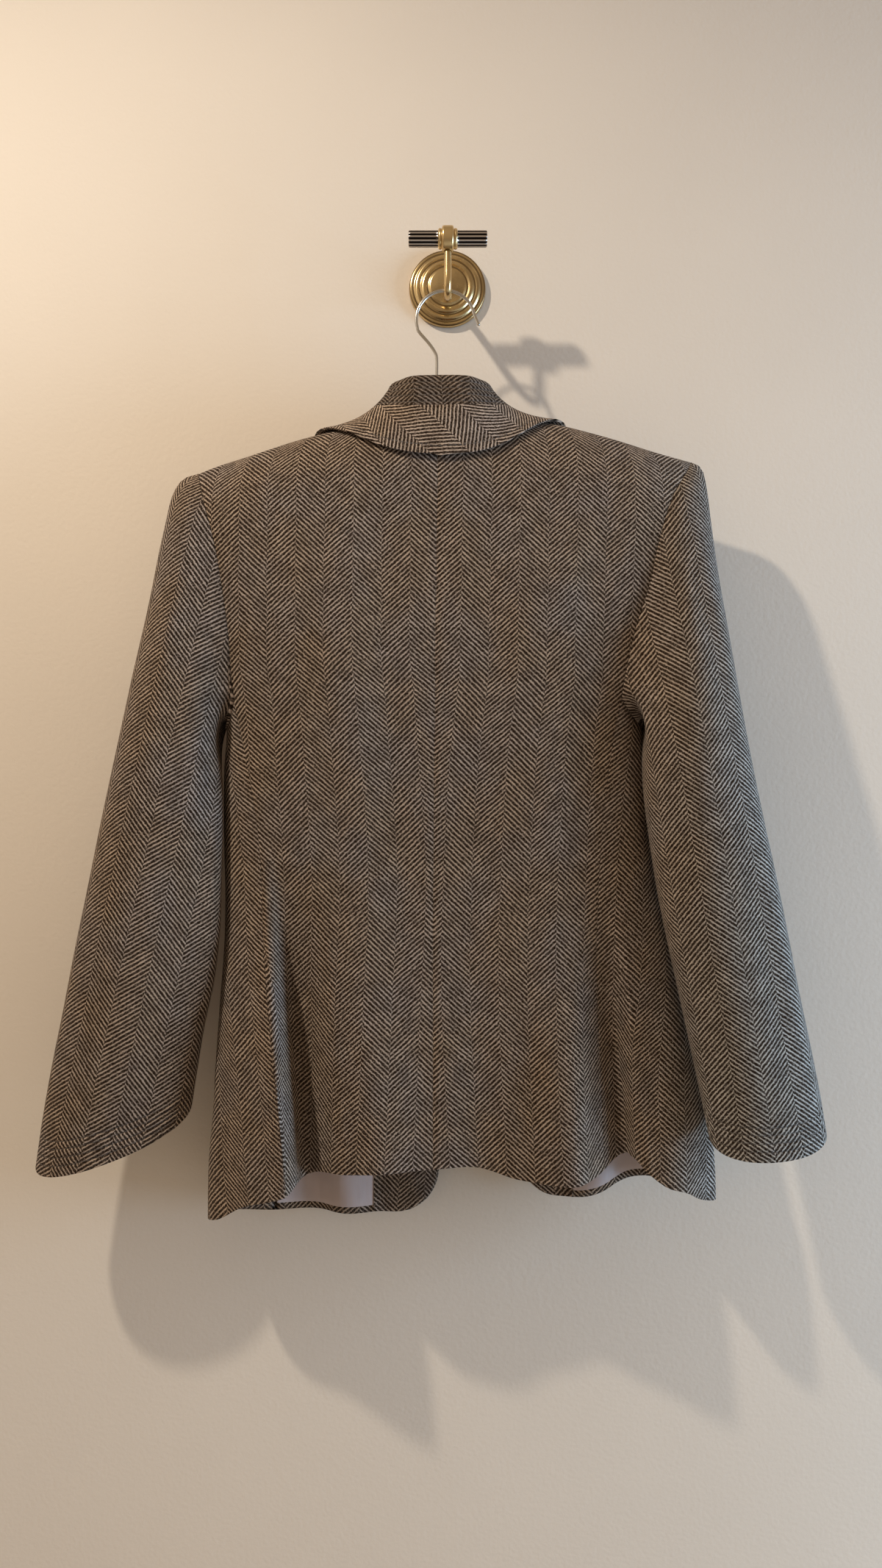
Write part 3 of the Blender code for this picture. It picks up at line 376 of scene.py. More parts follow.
def through(pairs):
    """A smooth function through (place, value) pairs with rising places, level past both ends."""
    places = [pair[0] for pair in pairs]
    values = [pair[1] for pair in pairs]
    last = len(pairs) - 1
    slopes = []
    for i in range(len(pairs)):
        before = max(i - 1, 0)
        after = min(i + 1, last)
        slopes.append((values[after] - values[before]) / (places[after] - places[before]))

    def value(place):
        if place <= places[0]:
            return values[0]
        if place >= places[-1]:
            return values[-1]
        i = bisect_right(places, place) - 1
        step = places[i + 1] - places[i]
        t = (place - places[i]) / step
        start = values[i] * (1 + 2 * t) * (1 - t) ** 2 + slopes[i] * step * t * (1 - t) ** 2
        end = values[i + 1] * (3 - 2 * t) * t * t + slopes[i + 1] * step * t * t * (t - 1)
        return start + end

    return value


def column(table, place, value):
    return through([(getattr(row, place), getattr(row, value)) for row in table])


def numbered(table):
    """Each named column of a table as a smooth function of the row number."""
    fields = table[0]._fields
    return {name: through([(i, getattr(row, name)) for i, row in enumerate(table)])
            for name in fields}


def mix(a, b, t):
    return a + (b - a) * t


def eased(t):
    """0 to 1 with a level start and end."""
    t = min(max(t, 0), 1)
    return t * t * (3 - 2 * t)


def spaced(count):
    return [i / count for i in range(count + 1)]


def distances(points):
    """How far along the line of points each one lies."""
    gone = [0.0]
    for a, b in zip(points, points[1:]):
        gone.append(gone[-1] + (b - a).length)
    return gone


def pair_grids(columns):
    """Rows from columns of (point, normal): a grid of points and a grid of normals."""
    rows = list(zip(*columns))
    return [[p for p, _ in row] for row in rows], [[n for _, n in row] for row in rows]


REACH = {
    LEFT: column(SECTIONS, "height", "left"),
    RIGHT: column(SECTIONS, "height", "right"),
}
DEPTH = {
    BACK: column(SECTIONS, "height", "back"),
    FRONT: column(SECTIONS, "height", "front"),
}
RIDGE_HEIGHT = column(RIDGE, "across", "height")
HEM_HEIGHT = {
    BACK: column(BACK_HEM, "across", "height"),
    FRONT: column(FRONT_HEM, "across", "height"),
}
MIDDLE_SEAM = column(BACK_SEAMS, "height", "middle")
SIDE_SEAM = {
    (LEFT, BACK): column(BACK_SEAMS, "height", "left"),
    (RIGHT, BACK): column(BACK_SEAMS, "height", "right"),
    (LEFT, FRONT): column(FRONT_SEAMS, "height", "left_side"),
    (RIGHT, FRONT): column(FRONT_SEAMS, "height", "right_side"),
}
FRONT_EDGE = {
    LEFT: column(FRONT_SEAMS, "height", "left_edge"),
    RIGHT: column(FRONT_SEAMS, "height", "right_edge"),
}
TAKE = {
    LEFT: column(CENTRE_TAKE, "height", "left"),
    RIGHT: column(CENTRE_TAKE, "height", "right"),
}


# ---------------------------------------------------------------- the body's form

def fold_out(fold, x, z):
    grown = min(max((fold.start - z) / (fold.start - fold.full), 0), 1)
    if grown == 0:
        return 0.0
    line = mix(fold.top, fold.hem, (fold.start - z) / (fold.start - FOLD_END))
    width = fold.before if x < line else fold.after
    off = abs(x - line) / width
    if off >= 1:
        return 0.0
    return fold.out * eased(grown) * 0.5 * (1 + math.cos(math.pi * off))


def crease_out(crease, x, z):
    """A soft trough or ridge that dies away past its line's ends and to both sides."""
    dx = crease.x_low - crease.x_top
    dz = crease.z_low - crease.z_top
    length = math.hypot(dx, dz)
    along = ((x - crease.x_top) * dx + (z - crease.z_top) * dz) / length
    off = abs((x - crease.x_top) * dz - (z - crease.z_top) * dx) / length
    if off > 3 * crease.width or along < -crease.width or along > length + crease.width:
        return 0.0
    past = min(along, length - along) / (CREASE_FADE * length)
    return crease.out * eased(past) * math.exp(-(off / crease.width) ** 2)


def body_depth(x, z, face):
    depth = DEPTH[face](z)
    for fold in FOLDS:
        if fold.side == face:
            depth += fold_out(fold, x, z)
    for crease in CREASES:
        if crease.side == face:
            depth += crease_out(crease, x, z)
    return depth


def side_share(x, z):
    side = LEFT if x < CENTRE else RIGHT
    across = min(abs(x - CENTRE) / REACH[side](z), 1)
    return 1 - across ** SQUARENESS


def shoulder_share(x, z):
    over = min(max(1 - (RIDGE_HEIGHT(x) - z) / SHOULDER_ROLL, 0), 1)
    return 1 - over * over


def lap_out(x, side):
    return side * LAP * eased((LAP_REACH - abs(x - LAP_CENTRE)) / LAP_FADE)


def body_point(x, z, face, lap_side=0):
    share = math.sqrt(max(side_share(x, z) * shoulder_share(x, z), 0))
    depth = body_depth(x, z, face) + lap_out(x, lap_side)
    return Vector((x, PLANE + face * depth * share, z))


def body_normal(point, face, lap_side=0):
    step = 0.05

    def level(x, y, z):
        depth = body_depth(x, z, face) + lap_out(x, lap_side)
        return ((y - PLANE) / depth) ** 2 - side_share(x, z) * shoulder_share(x, z)

    x, y, z = point
    slope = Vector((
        level(x + step, y, z) - level(x - step, y, z),
        level(x, y + step, z) - level(x, y - step, z),
        level(x, y, z + step) - level(x, y, z - step),
    ))
    return slope.normalized()


def turn_height(x, turn):
    """Height at a turn in degrees from the shoulder line, and in millimetres past a quarter turn."""
    if abs(turn) > 90:
        return RIDGE_HEIGHT(x) - SHOULDER_ROLL - (abs(turn) - 90)
    return RIDGE_HEIGHT(x) - SHOULDER_ROLL * (1 - math.cos(math.radians(turn)))


# ---------------------------------------------------------------- cloth

def tucked(grid, normals, row_ends=(True, True), column_ends=(True, True)):
    """The grid with its edges turned in over TUCK, where its edge rows and columns are close."""
    rows = len(grid)
    columns = len(grid[0])
    steps = len(TUCK_STEPS)

    def inset(i, count, ends):
        if ends[0] and i < steps:
            return TUCK_STEPS[i]
        if ends[1] and count - 1 - i < steps:
            return TUCK_STEPS[count - 1 - i]
        return TUCK

    made = []
    for i in range(rows):
        line = []
        for j in range(columns):
            near = min(inset(i, rows, row_ends), inset(j, columns, column_ends))
            drop = TUCK - math.sqrt(max(TUCK * TUCK - (TUCK - near) ** 2, 0))
            line.append(grid[i][j] - normals[i][j] * drop)
        made.append(line)
    return made


def edged(count, length, start=True, end=True, bunch=1.0):
    """Shares from 0 to 1 with the tuck's close steps at each end of about this length."""
    close = [step / length for step in TUCK_STEPS]
    low = close if start else [0.0]
    high = [1 - c for c in reversed(close)] if end else [1.0]
    between = [mix(low[-1], high[0], t ** bunch) for t in spaced(count)[1:-1]]
    return low + between + high


def arc_marks(grid, first):
    """Distances on the cloth: across from first(i) in each row, and up or down from the middle row."""
    rows = len(grid)
    middle = rows // 2
    marks = []
    for i, row in enumerate(grid):
        across = first(i)
        line = [[across, 0.0]]
        for a, b in zip(row, row[1:]):
            step = b - a
            across += math.hypot(step.x, step.y)
            line.append([across, 0.0])
        marks.append(line)
    for j, start in enumerate(grid[middle]):
        marks[middle][j][1] = start.z
        for way in (1, -1):
            up = start.z
            for i in range(middle + way, rows if way > 0 else -1, way):
                step = grid[i][j] - grid[i - way][j]
                up += math.copysign(math.hypot(step.y, step.z), step.z)
                marks[i][j][1] = up
    return marks


def grid_shape(rows, columns, place_of):
    """A flat grid whose corners are moved to place_of(row, column)."""
    shape = bmesh.new()
    bmesh.ops.create_grid(shape, x_segments=columns - 1, y_segments=rows - 1, size=1)
    shape.verts.ensure_lookup_table()
    shape.verts.index_update()
    for vert in shape.verts:
        vert.co = place_of(*divmod(vert.index, columns))
    return shape


def mesh_object(name, shape, finish):
    mesh = bpy.data.meshes.new(name)
    shape.to_mesh(mesh)
    shape.free()
    mesh.materials.append(finish)
    made = bpy.data.objects.new(name, mesh)
    bpy.context.scene.collection.objects.link(made)
    return made


def cloth(name, grid, marks, outward, thickness, finish, marks_beyond=None):
    """A shell of cloth over a grid of points in millimetres, its marks kept as a UV map.

    outward is a normal on the shown face, in the grid's middle. The shell grows away from it.
    A piece that closes into a tube has marks_beyond: the marks of its second half of columns.
    """
    rows = len(grid)
    columns = len(grid[0])
    shape = grid_shape(rows, columns, lambda i, j: (grid[i][j] + LEVEL) * MM)
    layer = shape.loops.layers.uv.new("Cloth")
    for face in shape.faces:
        face.smooth = True
        first = min(vert.index % columns for vert in face.verts)
        table = marks_beyond if marks_beyond and first >= columns // 2 else marks
        for loop in face.loops:
            i, j = divmod(loop.vert.index, columns)
            loop[layer].uv = (table[i][j][0] * MM, table[i][j][1] * MM)
    shape.normal_update()
    if marks_beyond:
        bmesh.ops.remove_doubles(shape, verts=shape.verts, dist=0.00001)
    shape.faces.ensure_lookup_table()
    middle = (rows // 2) * (columns - 1) + columns // 2
    if shape.faces[middle].normal.dot(outward) < 0:
        bmesh.ops.reverse_faces(shape, faces=shape.faces)
    made = mesh_object(name, shape, finish)
    shell = made.modifiers.new("Cloth", "SOLIDIFY")
    shell.thickness = thickness * MM
    shell.offset = -1
    shell.use_quality_normals = True
    return made


def dress(made, slot, *nodes):
    """Lets a finished piece ride and stand for its nodes, if it has any; slot is not used."""
    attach(made, "root")
    if nodes:
        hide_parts(*nodes)
    return made


def grid_normals(grid, hint, closed=False):
    """Each point's normal, on the side that hint(row, column) points to."""
    rows = len(grid)
    columns = len(grid[0])
    found = []
    for i in range(rows):
        line = []
        for j in range(columns):
            along = grid[min(i + 1, rows - 1)][j] - grid[max(i - 1, 0)][j]
            after = grid[i][(j + 1) % columns if closed else min(j + 1, columns - 1)]
            before = grid[i][j - 1 if closed or j else 0]
            normal = along.cross(after - before).normalized()
            if normal.dot(hint(i, j)) < 0:
                normal.negate()
            line.append(normal)
        found.append(line)
    return found


# ---------------------------------------------------------------- panels

LOW_ROWS = 74           # from the hem to the armhole
ARM_ROWS = 26           # along the armhole
ROLL_SHARES = edged(20, 75, start=False)        # over the shoulder
BACK_NECK_TURN = 54.0   # of the neckline's middle, in degrees from the shoulder line
SEAM_TURN = 0.35        # of the shoulder seam's edges
BACK_WIDTH = 220.0
NECK_COLUMNS = 14
SHOULDER_COLUMNS = 30
FRONT_COLUMNS = 44
FRONT_WIDTH = 150.0
SIDE_COLUMNS = 46
SIDE_WIDTH = 170.0
SIDE_BUNCHING = 0.65
INSIDE_COLUMNS = 36
INSIDE_WIDTH = 60.0
SETTLING = 4            # passes that bring a point on a slanting edge to its height


def row_heights(hem, x_top, top_turn):
    """Heights of a panel's rows, and the turns of those that roll over the shoulder."""
    roll_start = RIDGE_HEIGHT(x_top) - SHOULDER_ROLL
    low = edged(LOW_ROWS, ARMHOLE_CORNER - hem, end=False)
    heights = [mix(hem, ARMHOLE_CORNER, t) for t in low]
    heights += [mix(ARMHOLE_CORNER, roll_start, t) for t in spaced(ARM_ROWS)[1:]]
    turns = [None] * len(heights)
    roll = ROLL_SHARES[1:]
    heights += [roll_start] * len(roll)
    turns += [mix(90, top_turn, t) for t in roll]
    return heights, turns


def panel(columns, edges, face, hem_of, top_turn_of, lap_side=0):
    """Grids of points and normals between two edges, each a function from height to x."""
    first, second = edges
    made = []
    for t in columns:
        x_hem = mix(first(HEM_GUIDE), second(HEM_GUIDE), t)
        x_top = mix(first(NECK_SIDE), second(SHOULDER_TIP), t)
        heights, turns = row_heights(hem_of(x_hem), x_top, top_turn_of(x_top))
        line = []
        for height, turn in zip(heights, turns):
            for _ in range(SETTLING):
                x = mix(first(height), second(height), t)
                if turn is not None:
                    height = turn_height(x, turn)
            point = body_point(x, height, face, lap_side)
            line.append((point, body_normal(point, face, lap_side)))
        made.append(line)
    return pair_grids(made)


def shifted(edge, by):
    return lambda height: edge(height) + by


def back_neck_turn(x):
    off = abs(x - NECK_CENTRE) / NECK_HALF
    if off >= 0.999:
        return SEAM_TURN
    return max(BACK_NECK_TURN * math.sqrt(1 - off * off), SEAM_TURN)


def back_panel(side):
    """The back's grids, and the number of its column at the neckline's side."""
    middle = shifted(MIDDLE_SEAM, side * SEAM_GAP / 2)
    outer_edge = shifted(SIDE_SEAM[side, BACK], -side * SEAM_GAP / 2)
    neck_x = NECK_CENTRE + side * NECK_HALF
    neck = (neck_x - middle(NECK_SIDE)) / (outer_edge(SHOULDER_TIP) - middle(NECK_SIDE))
    near = edged(NECK_COLUMNS, neck * BACK_WIDTH, end=False, bunch=0.8)
    far = edged(SHOULDER_COLUMNS, (1 - neck) * BACK_WIDTH, start=False)
    columns = [t * neck for t in near] + [neck + (1 - neck) * t for t in far[1:]]
    return panel(columns, (middle, outer_edge), BACK, HEM_HEIGHT[BACK], back_neck_turn), len(near) - 1


def front_hem(side):
    """The front's hem as a function, with its rounded corner."""
    edge = FRONT_EDGE[side](HEM_GUIDE)

    def height(x):
        inside = (edge - x) * -side
        level = HEM_HEIGHT[FRONT](x)
        if inside >= CORNER:
            return level
        short = CORNER - max(inside, 0)
        return level + CORNER - math.sqrt(CORNER * CORNER - short * short)

    return height


def front_panel(side):
    edge = FRONT_EDGE[side]
    outer_edge = shifted(SIDE_SEAM[side, FRONT], -side * SEAM_GAP / 2)
    columns = edged(FRONT_COLUMNS, FRONT_WIDTH, bunch=1.25)
    return panel(columns, (edge, outer_edge), FRONT, front_hem(side), lambda x: SEAM_TURN, side)


def side_angle(x, z, side):
    across = min(abs(x - CENTRE) / REACH[side](z), 1)
    return math.acos(across ** (SQUARENESS / 2))


def side_place(side, t, z):
    """Point and normal on the side panel: t is -1 at the back's seam and 1 at the front's."""
    face = BACK if t < 0 else FRONT
    seam = SIDE_SEAM[side, face](z) + side * SEAM_GAP / 2
    angle = side_angle(seam, z, side) * abs(t) ** SIDE_BUNCHING
    x = CENTRE + side * REACH[side](z) * math.cos(angle) ** (2 / SQUARENESS)
    point = body_point(x, z, face)
    return point, body_normal(point, face)


def side_panel(side):
    made = []
    for share in edged(SIDE_COLUMNS, SIDE_WIDTH):
        t = 2 * share - 1
        face = BACK if t < 0 else FRONT
        hem = HEM_HEIGHT[face](side_place(side, t, HEM_GUIDE)[0].x)
        top = ARMHOLE_CORNER - ARMHOLE_DIP * (1 - t * t)
        rows = edged(LOW_ROWS, ARMHOLE_CORNER - hem, end=False)
        made.append([side_place(side, t, mix(hem, top, r)) for r in rows])
    return pair_grids(made)


PANELS = {}


def body_panels():
    """Points and normals of the backs, fronts and sides, made once."""
    if not PANELS:
        for side, _ in SIDES:
            PANELS["back", side], PANELS["neck", side] = back_panel(side)
            PANELS["front", side] = front_panel(side)
            PANELS["side", side] = side_panel(side)
    return PANELS


# ---------------------------------------------------------------- materials

class Graph:
    """A material's nodes, made and joined in short steps."""

    def __init__(self, name):
        self.material = bpy.data.materials.new(name)
        self.material.use_nodes = True
        self.nodes = self.material.node_tree.nodes
        self.links = self.material.node_tree.links
        self.shader = self.nodes["Principled BSDF"]

    def set(self, socket, value):
        if isinstance(value, bpy.types.NodeSocket):
            self.links.new(value, socket)
        elif isinstance(value, tuple) and len(value) == 3 and socket.type == "RGBA":
            socket.default_value = (*value, 1)
        else:
            socket.default_value = value

    def shade(self, **values):
        for name, value in values.items():
            self.set(self.shader.inputs[name.replace("_", " ")], value)

    def math(self, kind, a, b=0.0, c=0.0, clamp=False):
        """a, b and c as the kind joins them: MULTIPLY_ADD is a * b + c."""
        node = self.nodes.new("ShaderNodeMath")
        node.operation = kind
        node.use_clamp = clamp
        for socket, value in zip(node.inputs, (a, b, c)):
            self.set(socket, value)
        return node.outputs[0]

    def around(self, noise, amount, middle=0.5):
        """Noise scaled by amount, and 0 at its middle."""
        return self.math("MULTIPLY_ADD", noise, amount, -amount * middle)

    def wave(self, place):
        """A sine with one wave for each whole step of place."""
        return self.math("SINE", self.math("MULTIPLY", place, 2 * math.pi))

    def span(self, value, low, high, to_low=0.0, to_high=1.0):
        """Rises softly from to_low to to_high while the value goes from low to high."""
        node = self.nodes.new("ShaderNodeMapRange")
        node.interpolation_type = "SMOOTHSTEP"
        for place, part in enumerate((value, low, high, to_low, to_high)):
            self.set(node.inputs[place], part)
        return node.outputs[0]

    def uv(self):
        node = self.nodes.new("ShaderNodeUVMap")
        node.uv_map = "Cloth"
        return node.outputs[0]

    def spot(self):
        return self.nodes.new("ShaderNodeTexCoord").outputs["Object"]

    def parts(self, vector):
        node = self.nodes.new("ShaderNodeSeparateXYZ")
        self.set(node.inputs[0], vector)
        return node.outputs

    def vector(self, x, y, z=0.0):
        node = self.nodes.new("ShaderNodeCombineXYZ")
        for socket, value in zip(node.inputs, (x, y, z)):
            self.set(socket, value)
        return node.outputs[0]

    def noise(self, vector, scale, detail=2.0, roughness=0.5):
        node = self.nodes.new("ShaderNodeTexNoise")
        self.set(node.inputs["Vector"], vector)
        node.inputs["Scale"].default_value = scale
        node.inputs["Detail"].default_value = detail
        node.inputs["Roughness"].default_value = roughness
        return node.outputs["Fac"]

    def blend(self, factor, first, second):
        node = self.nodes.new("ShaderNodeMix")
        node.data_type = "RGBA"
        self.set(node.inputs[0], factor)
        self.set(node.inputs[6], first)
        self.set(node.inputs[7], second)
        return node.outputs[2]

    def bump(self, height, distance, strength):
        node = self.nodes.new("ShaderNodeBump")
        self.set(node.inputs["Height"], height)
        node.inputs["Distance"].default_value = distance
        node.inputs["Strength"].default_value = strength
        return node.outputs[0]


def dyed(colour, shares):
    return tuple(c * share for c, share in zip(colour, shares))


def dimmed(colour, share):
    return tuple(share * c for c in colour)


def herringbone(name, light, dark):
    """Wool twill whose lines lean one way and the other in stripes, in the cloth's own marks."""
    graph = Graph(name)
    across, up, _ = graph.parts(graph.uv())
    place = graph.vector(across, up)
    across = graph.math("ADD", across, graph.around(graph.noise(place, 90.0), 0.0016))

    # One twill line for each whole step of line, half a step off in every second stripe
    stripe = graph.math("DIVIDE", across, STRIPE * MM)
    turned = graph.math("FLOORED_MODULO", graph.math("FLOOR", stripe), 2.0)
    zigzag = graph.math("PINGPONG", across, STRIPE * MM)
    line = graph.math("DIVIDE", graph.math("MULTIPLY_ADD", zigzag, -LEAN, up), TWILL * MM)
    line = graph.math("MULTIPLY_ADD", turned, 0.5, line)
    uneven = graph.noise(place, 380.0)
    fibre = graph.noise(place, 1500.0, 3.0, 0.7)
    line = graph.math("ADD", line, graph.around(uneven, 0.46))
    line = graph.math("ADD", line, graph.around(fibre, 0.4))

    # Share of light yarn: strands, the light picks that break the dark lines, fibres and flecks
    strand = graph.span(graph.wave(line), -0.22, 0.85)
    pick = graph.math("MULTIPLY_ADD", uneven, 3.0, graph.math("DIVIDE", across, PICK * MM))
    broken = graph.span(graph.wave(pick), 0.0, 0.95, 0.0, 0.26)
    share = graph.math("MAXIMUM", strand, broken)
    share = graph.math("ADD", share, graph.around(fibre, 0.8, 0.575))
    fleck = graph.around(graph.noise(place, 620.0), 1.6, 0.5375)
    share = graph.math("ADD", share, fleck, clamp=True)
    patch = graph.span(graph.noise(place, 70.0, 3.0), 0.3, 0.7, 0.78, 1.2)
    share = graph.math("MULTIPLY", share, patch, clamp=True)

    # The light yarn is warmer and cooler in clouds; past 0.15 m to the right, on the right sleeve, it
    # is painted bluer, a painted cool window light
    cloud = graph.noise(graph.vector(graph.math("MULTIPLY", across, 1.3), up), 15.0, 3.0)
    warm = dyed(light, (1.03, 0.99, 0.95))
    cool = dyed(light, (0.98, 1.0, 1.07))
    painted_window_blue = dyed(light, (1.06, 1.29, 1.52))
    tinted = graph.blend(graph.span(cloud, 0.36, 0.6), cool, warm)
    # mask of the painted window light, rising with the object's x
    right = graph.span(graph.parts(graph.spot())[0], 0.15, 0.29)
    tinted = graph.blend(right, tinted, painted_window_blue)

    height = graph.math("MULTIPLY_ADD", fibre, 0.7, graph.math("MULTIPLY", share, 0.6))
    graph.shade(Base_Color=graph.blend(share, dark, tinted), Roughness=0.95, Sheen_Weight=0.04,
                Sheen_Roughness=0.45, Sheen_Tint=(1.0, 0.86, 0.72), Specular_IOR_Level=0.06,
                Normal=graph.bump(height, 0.0006, 0.8))
    return graph.material


def satin(name, colour):
    graph = Graph(name)
    across, up, _ = graph.parts(graph.uv())
    streak = graph.noise(graph.vector(across, graph.math("MULTIPLY", up, 0.15)), 160.0, 3.0)
    slub = graph.noise(graph.vector(across, up), 30.0, 2.0)
    tone = graph.blend(graph.span(slub, 0.3, 0.7), dimmed(colour, 0.86), colour)
    height = graph.math("ADD", streak, graph.math("MULTIPLY", slub, 3.0))
    graph.shade(Base_Color=tone, Roughness=0.42, Sheen_Weight=0.1, Anisotropic=0.4,
                Normal=graph.bump(height, 0.0008, 0.5))
    return graph.material


def brass(name, colour, dark, shaded_hollows=()):
    """Polished brass with fine turning marks, random clouds of tarnish, and painted shade in hollows of
    these radii.
    """
    graph = Graph(name)
    spot = graph.spot()
    cloud = graph.noise(spot, 45.0, 3.0)
    fine = graph.noise(spot, 1200.0, 2.0)
    tone = graph.blend(graph.span(cloud, 0.4, 0.7, 0.0, 0.45), colour, dark)
    rough = graph.span(cloud, 0.3, 0.7, 0.2, 0.3)
    x, _, z = graph.parts(spot)
    radius = graph.math("SQRT", graph.math("MULTIPLY_ADD", x, x, graph.math("MULTIPLY", z, z)))
    # painted shade in the hollows: darker near each hollow's radius
    for shaded_hollow in shaded_hollows:
        off = graph.math("ABSOLUTE", graph.math("SUBTRACT", radius, shaded_hollow * MM))
        tone = graph.blend(graph.span(off, 0.0002, 0.0011, 0.85, 0.0), tone, dark)
    graph.shade(Base_Color=tone, Metallic=1.0, Roughness=rough, Normal=graph.bump(fine, 0.00004, 0.5))
    return graph.material


def grip(name, colour):
    """A bar whose middle is brass and whose fluted grips are dark, with bright edges: the flutes hold
    painted shade and painted dark reflection.
    """
    graph = Graph(name)
    x, y, z = graph.parts(graph.spot())
    fine = graph.noise(graph.spot(), 1200.0, 2.0)
    y = graph.math("SUBTRACT", y, BAR_Y * MM)
    z = graph.math("SUBTRACT", z, BAR_Z * MM + LEVEL.z * MM)
    turn = graph.math("MULTIPLY", graph.math("ARCTAN2", y, z), FLUTES / 2)
    ridge = graph.math("ABSOLUTE", graph.math("SINE", turn))
    # painted shade and painted dark reflection: near black in the flutes, pale on the ridges
    tone = graph.blend(graph.span(ridge, 0.66, 0.95), (0.012, 0.009, 0.008), (0.62, 0.55, 0.5))
    inside = graph.span(graph.math("ABSOLUTE", x), (GRIP_START - 0.4) * MM, GRIP_START * MM)
    graph.shade(Base_Color=graph.blend(inside, colour, tone), Metallic=1.0, Roughness=0.3,
                Normal=graph.bump(fine, 0.00004, 0.5))
    return graph.material


def steel(name):
    graph = Graph(name)
    fine = graph.noise(graph.spot(), 900.0, 2.0)
    graph.shade(Base_Color=(0.56, 0.53, 0.48), Metallic=1.0, Roughness=0.24,
                Normal=graph.bump(fine, 0.00003, 0.4))
    return graph.material


def wood(name):
    graph = Graph(name)
    x, y, z = graph.parts(graph.spot())
    long = graph.vector(graph.math("MULTIPLY", x, 0.08), y, z)
    rings = graph.noise(long, 220.0, 4.0)
    pores = graph.noise(graph.vector(graph.math("MULTIPLY", x, 0.05), y, z), 1400.0, 2.0)
    tone = graph.blend(graph.span(rings, 0.35, 0.65), (0.42, 0.25, 0.12), (0.58, 0.38, 0.2))
    tone = graph.blend(graph.span(pores, 0.58, 0.72, 0.0, 0.6), tone, (0.25, 0.13, 0.06))
    graph.shade(Base_Color=tone, Roughness=0.38, Coat_Weight=0.4, Coat_Roughness=0.2,
                Normal=graph.bump(rings, 0.0002, 0.4))
    return graph.material


def horn(name):
    graph = Graph(name)
    cloud = graph.noise(graph.spot(), 260.0, 4.0, 0.6)
    tone = graph.blend(graph.span(cloud, 0.4, 0.62), (0.035, 0.018, 0.01), (0.16, 0.09, 0.045))
    graph.shade(Base_Color=tone, Roughness=0.28, Coat_Weight=0.3)
    return graph.material


def thread(name, colour):
    graph = Graph(name)
    fine = graph.noise(graph.spot(), 2600.0, 2.0)
    graph.shade(Base_Color=graph.blend(fine, dimmed(colour, 0.5), colour),
                Roughness=0.8, Sheen_Weight=0.2, Normal=graph.bump(fine, 0.0001, 0.5))
    return graph.material


# dark brown: random tarnish clouds, and painted shade in the rose's hollows
TARNISH_AND_SHADE = (0.16, 0.1, 0.045)
MATERIALS = {}


def material(kind):
    """The material of this kind, made when it is first asked for."""
    if kind not in MATERIALS:
        looks = bpy.context.scene.jacket_looks
        light = tuple(looks.light_yarn)
        dark = tuple(looks.dark_yarn)
        metal = tuple(looks.brass_colour)
        makers = {
            "wool": lambda: herringbone("wool_herringbone", light, dark),
            # the band's wool: its light yarn is darker, at 0.6 of the rest
            "band": lambda: herringbone("wool_stitched", dimmed(light, 0.6), dark),
            "fall": lambda: herringbone("wool_bias", dimmed(light, 1.2), dark),
            "satin": lambda: satin("satin_lining", tuple(looks.lining_colour)),
            "brass": lambda: brass("brass", metal, TARNISH_AND_SHADE),
            "rose": lambda: brass("brass_rose", metal, TARNISH_AND_SHADE, ROSE_SHADED_HOLLOWS),
            "grip": lambda: grip("brass_grip", metal),
            "steel": lambda: steel("steel_wire"),
            "wood": lambda: wood("beech"),
            "horn": lambda: horn("horn"),
            "thread": lambda: thread("thread", dimmed(light, 0.3)),
        }
        MATERIALS[kind] = makers[kind]()
    return MATERIALS[kind]


# ---------------------------------------------------------------- pieces of the body

def middle_normal(normals):
    return normals[len(normals) // 2][len(normals[0]) // 2]


# Where the weave's marks begin at each piece's first edge
FRONT_MARK = 200.0
SIDE_MARK = 9.0
FACING_MARK = 12.0
SLEEVE_MARK = {LEFT: 10.0, RIGHT: 6.0}

INSIDE_TOP = 11 / 12    # share of the way up to the armhole that the facing and lining reach
INSIDE_GAP = 0.003      # share of the front's width between them

# What shows of each piece when it is laid flat, in metres and square metres
Cut = namedtuple("Cut", "width length area")


def sew(node, grid, normals, marks, finish="wool", stitched=None,
        row_ends=(True, True), column_ends=(True, True), marks_beyond=None):
    """Makes a piece of cloth, with its stitched lines, and dresses it."""
    thickness, slot = (LINING, "satin_lining") if finish == "satin" else (CLOTH, "wool_herringbone")
    made = cloth(f"{node}_cloth", tucked(grid, normals, row_ends, column_ends), marks,
                 middle_normal(normals), thickness, material(finish), marks_beyond)
    threads = [stitches(*stitched)] if stitched else []
    dress(made, slot, node)


def make_back(side, word):
    grid, normals = body_panels()["back", side]
    low, high = CENTRE_TAKE[0].height, CENTRE_TAKE[-1].height

    def first(i):
        return STRIPE - TAKE[side](min(max(grid[i][0].z, low), high))

    sew(f"back_{word}", grid, normals, arc_marks(grid, first))


def make_front(side, word):
    grid, normals = body_panels()["front", side]
    marks = arc_marks(grid, lambda i: side * (grid[i][0].x - CENTRE) + FRONT_MARK)
    sew(f"front_{word}", grid, normals, marks)


def make_side(side, word):
    grid, normals = body_panels()["side", side]
    marks = arc_marks(grid, lambda i: SIDE_MARK)
    sew(f"side_{word}", grid, normals, marks)


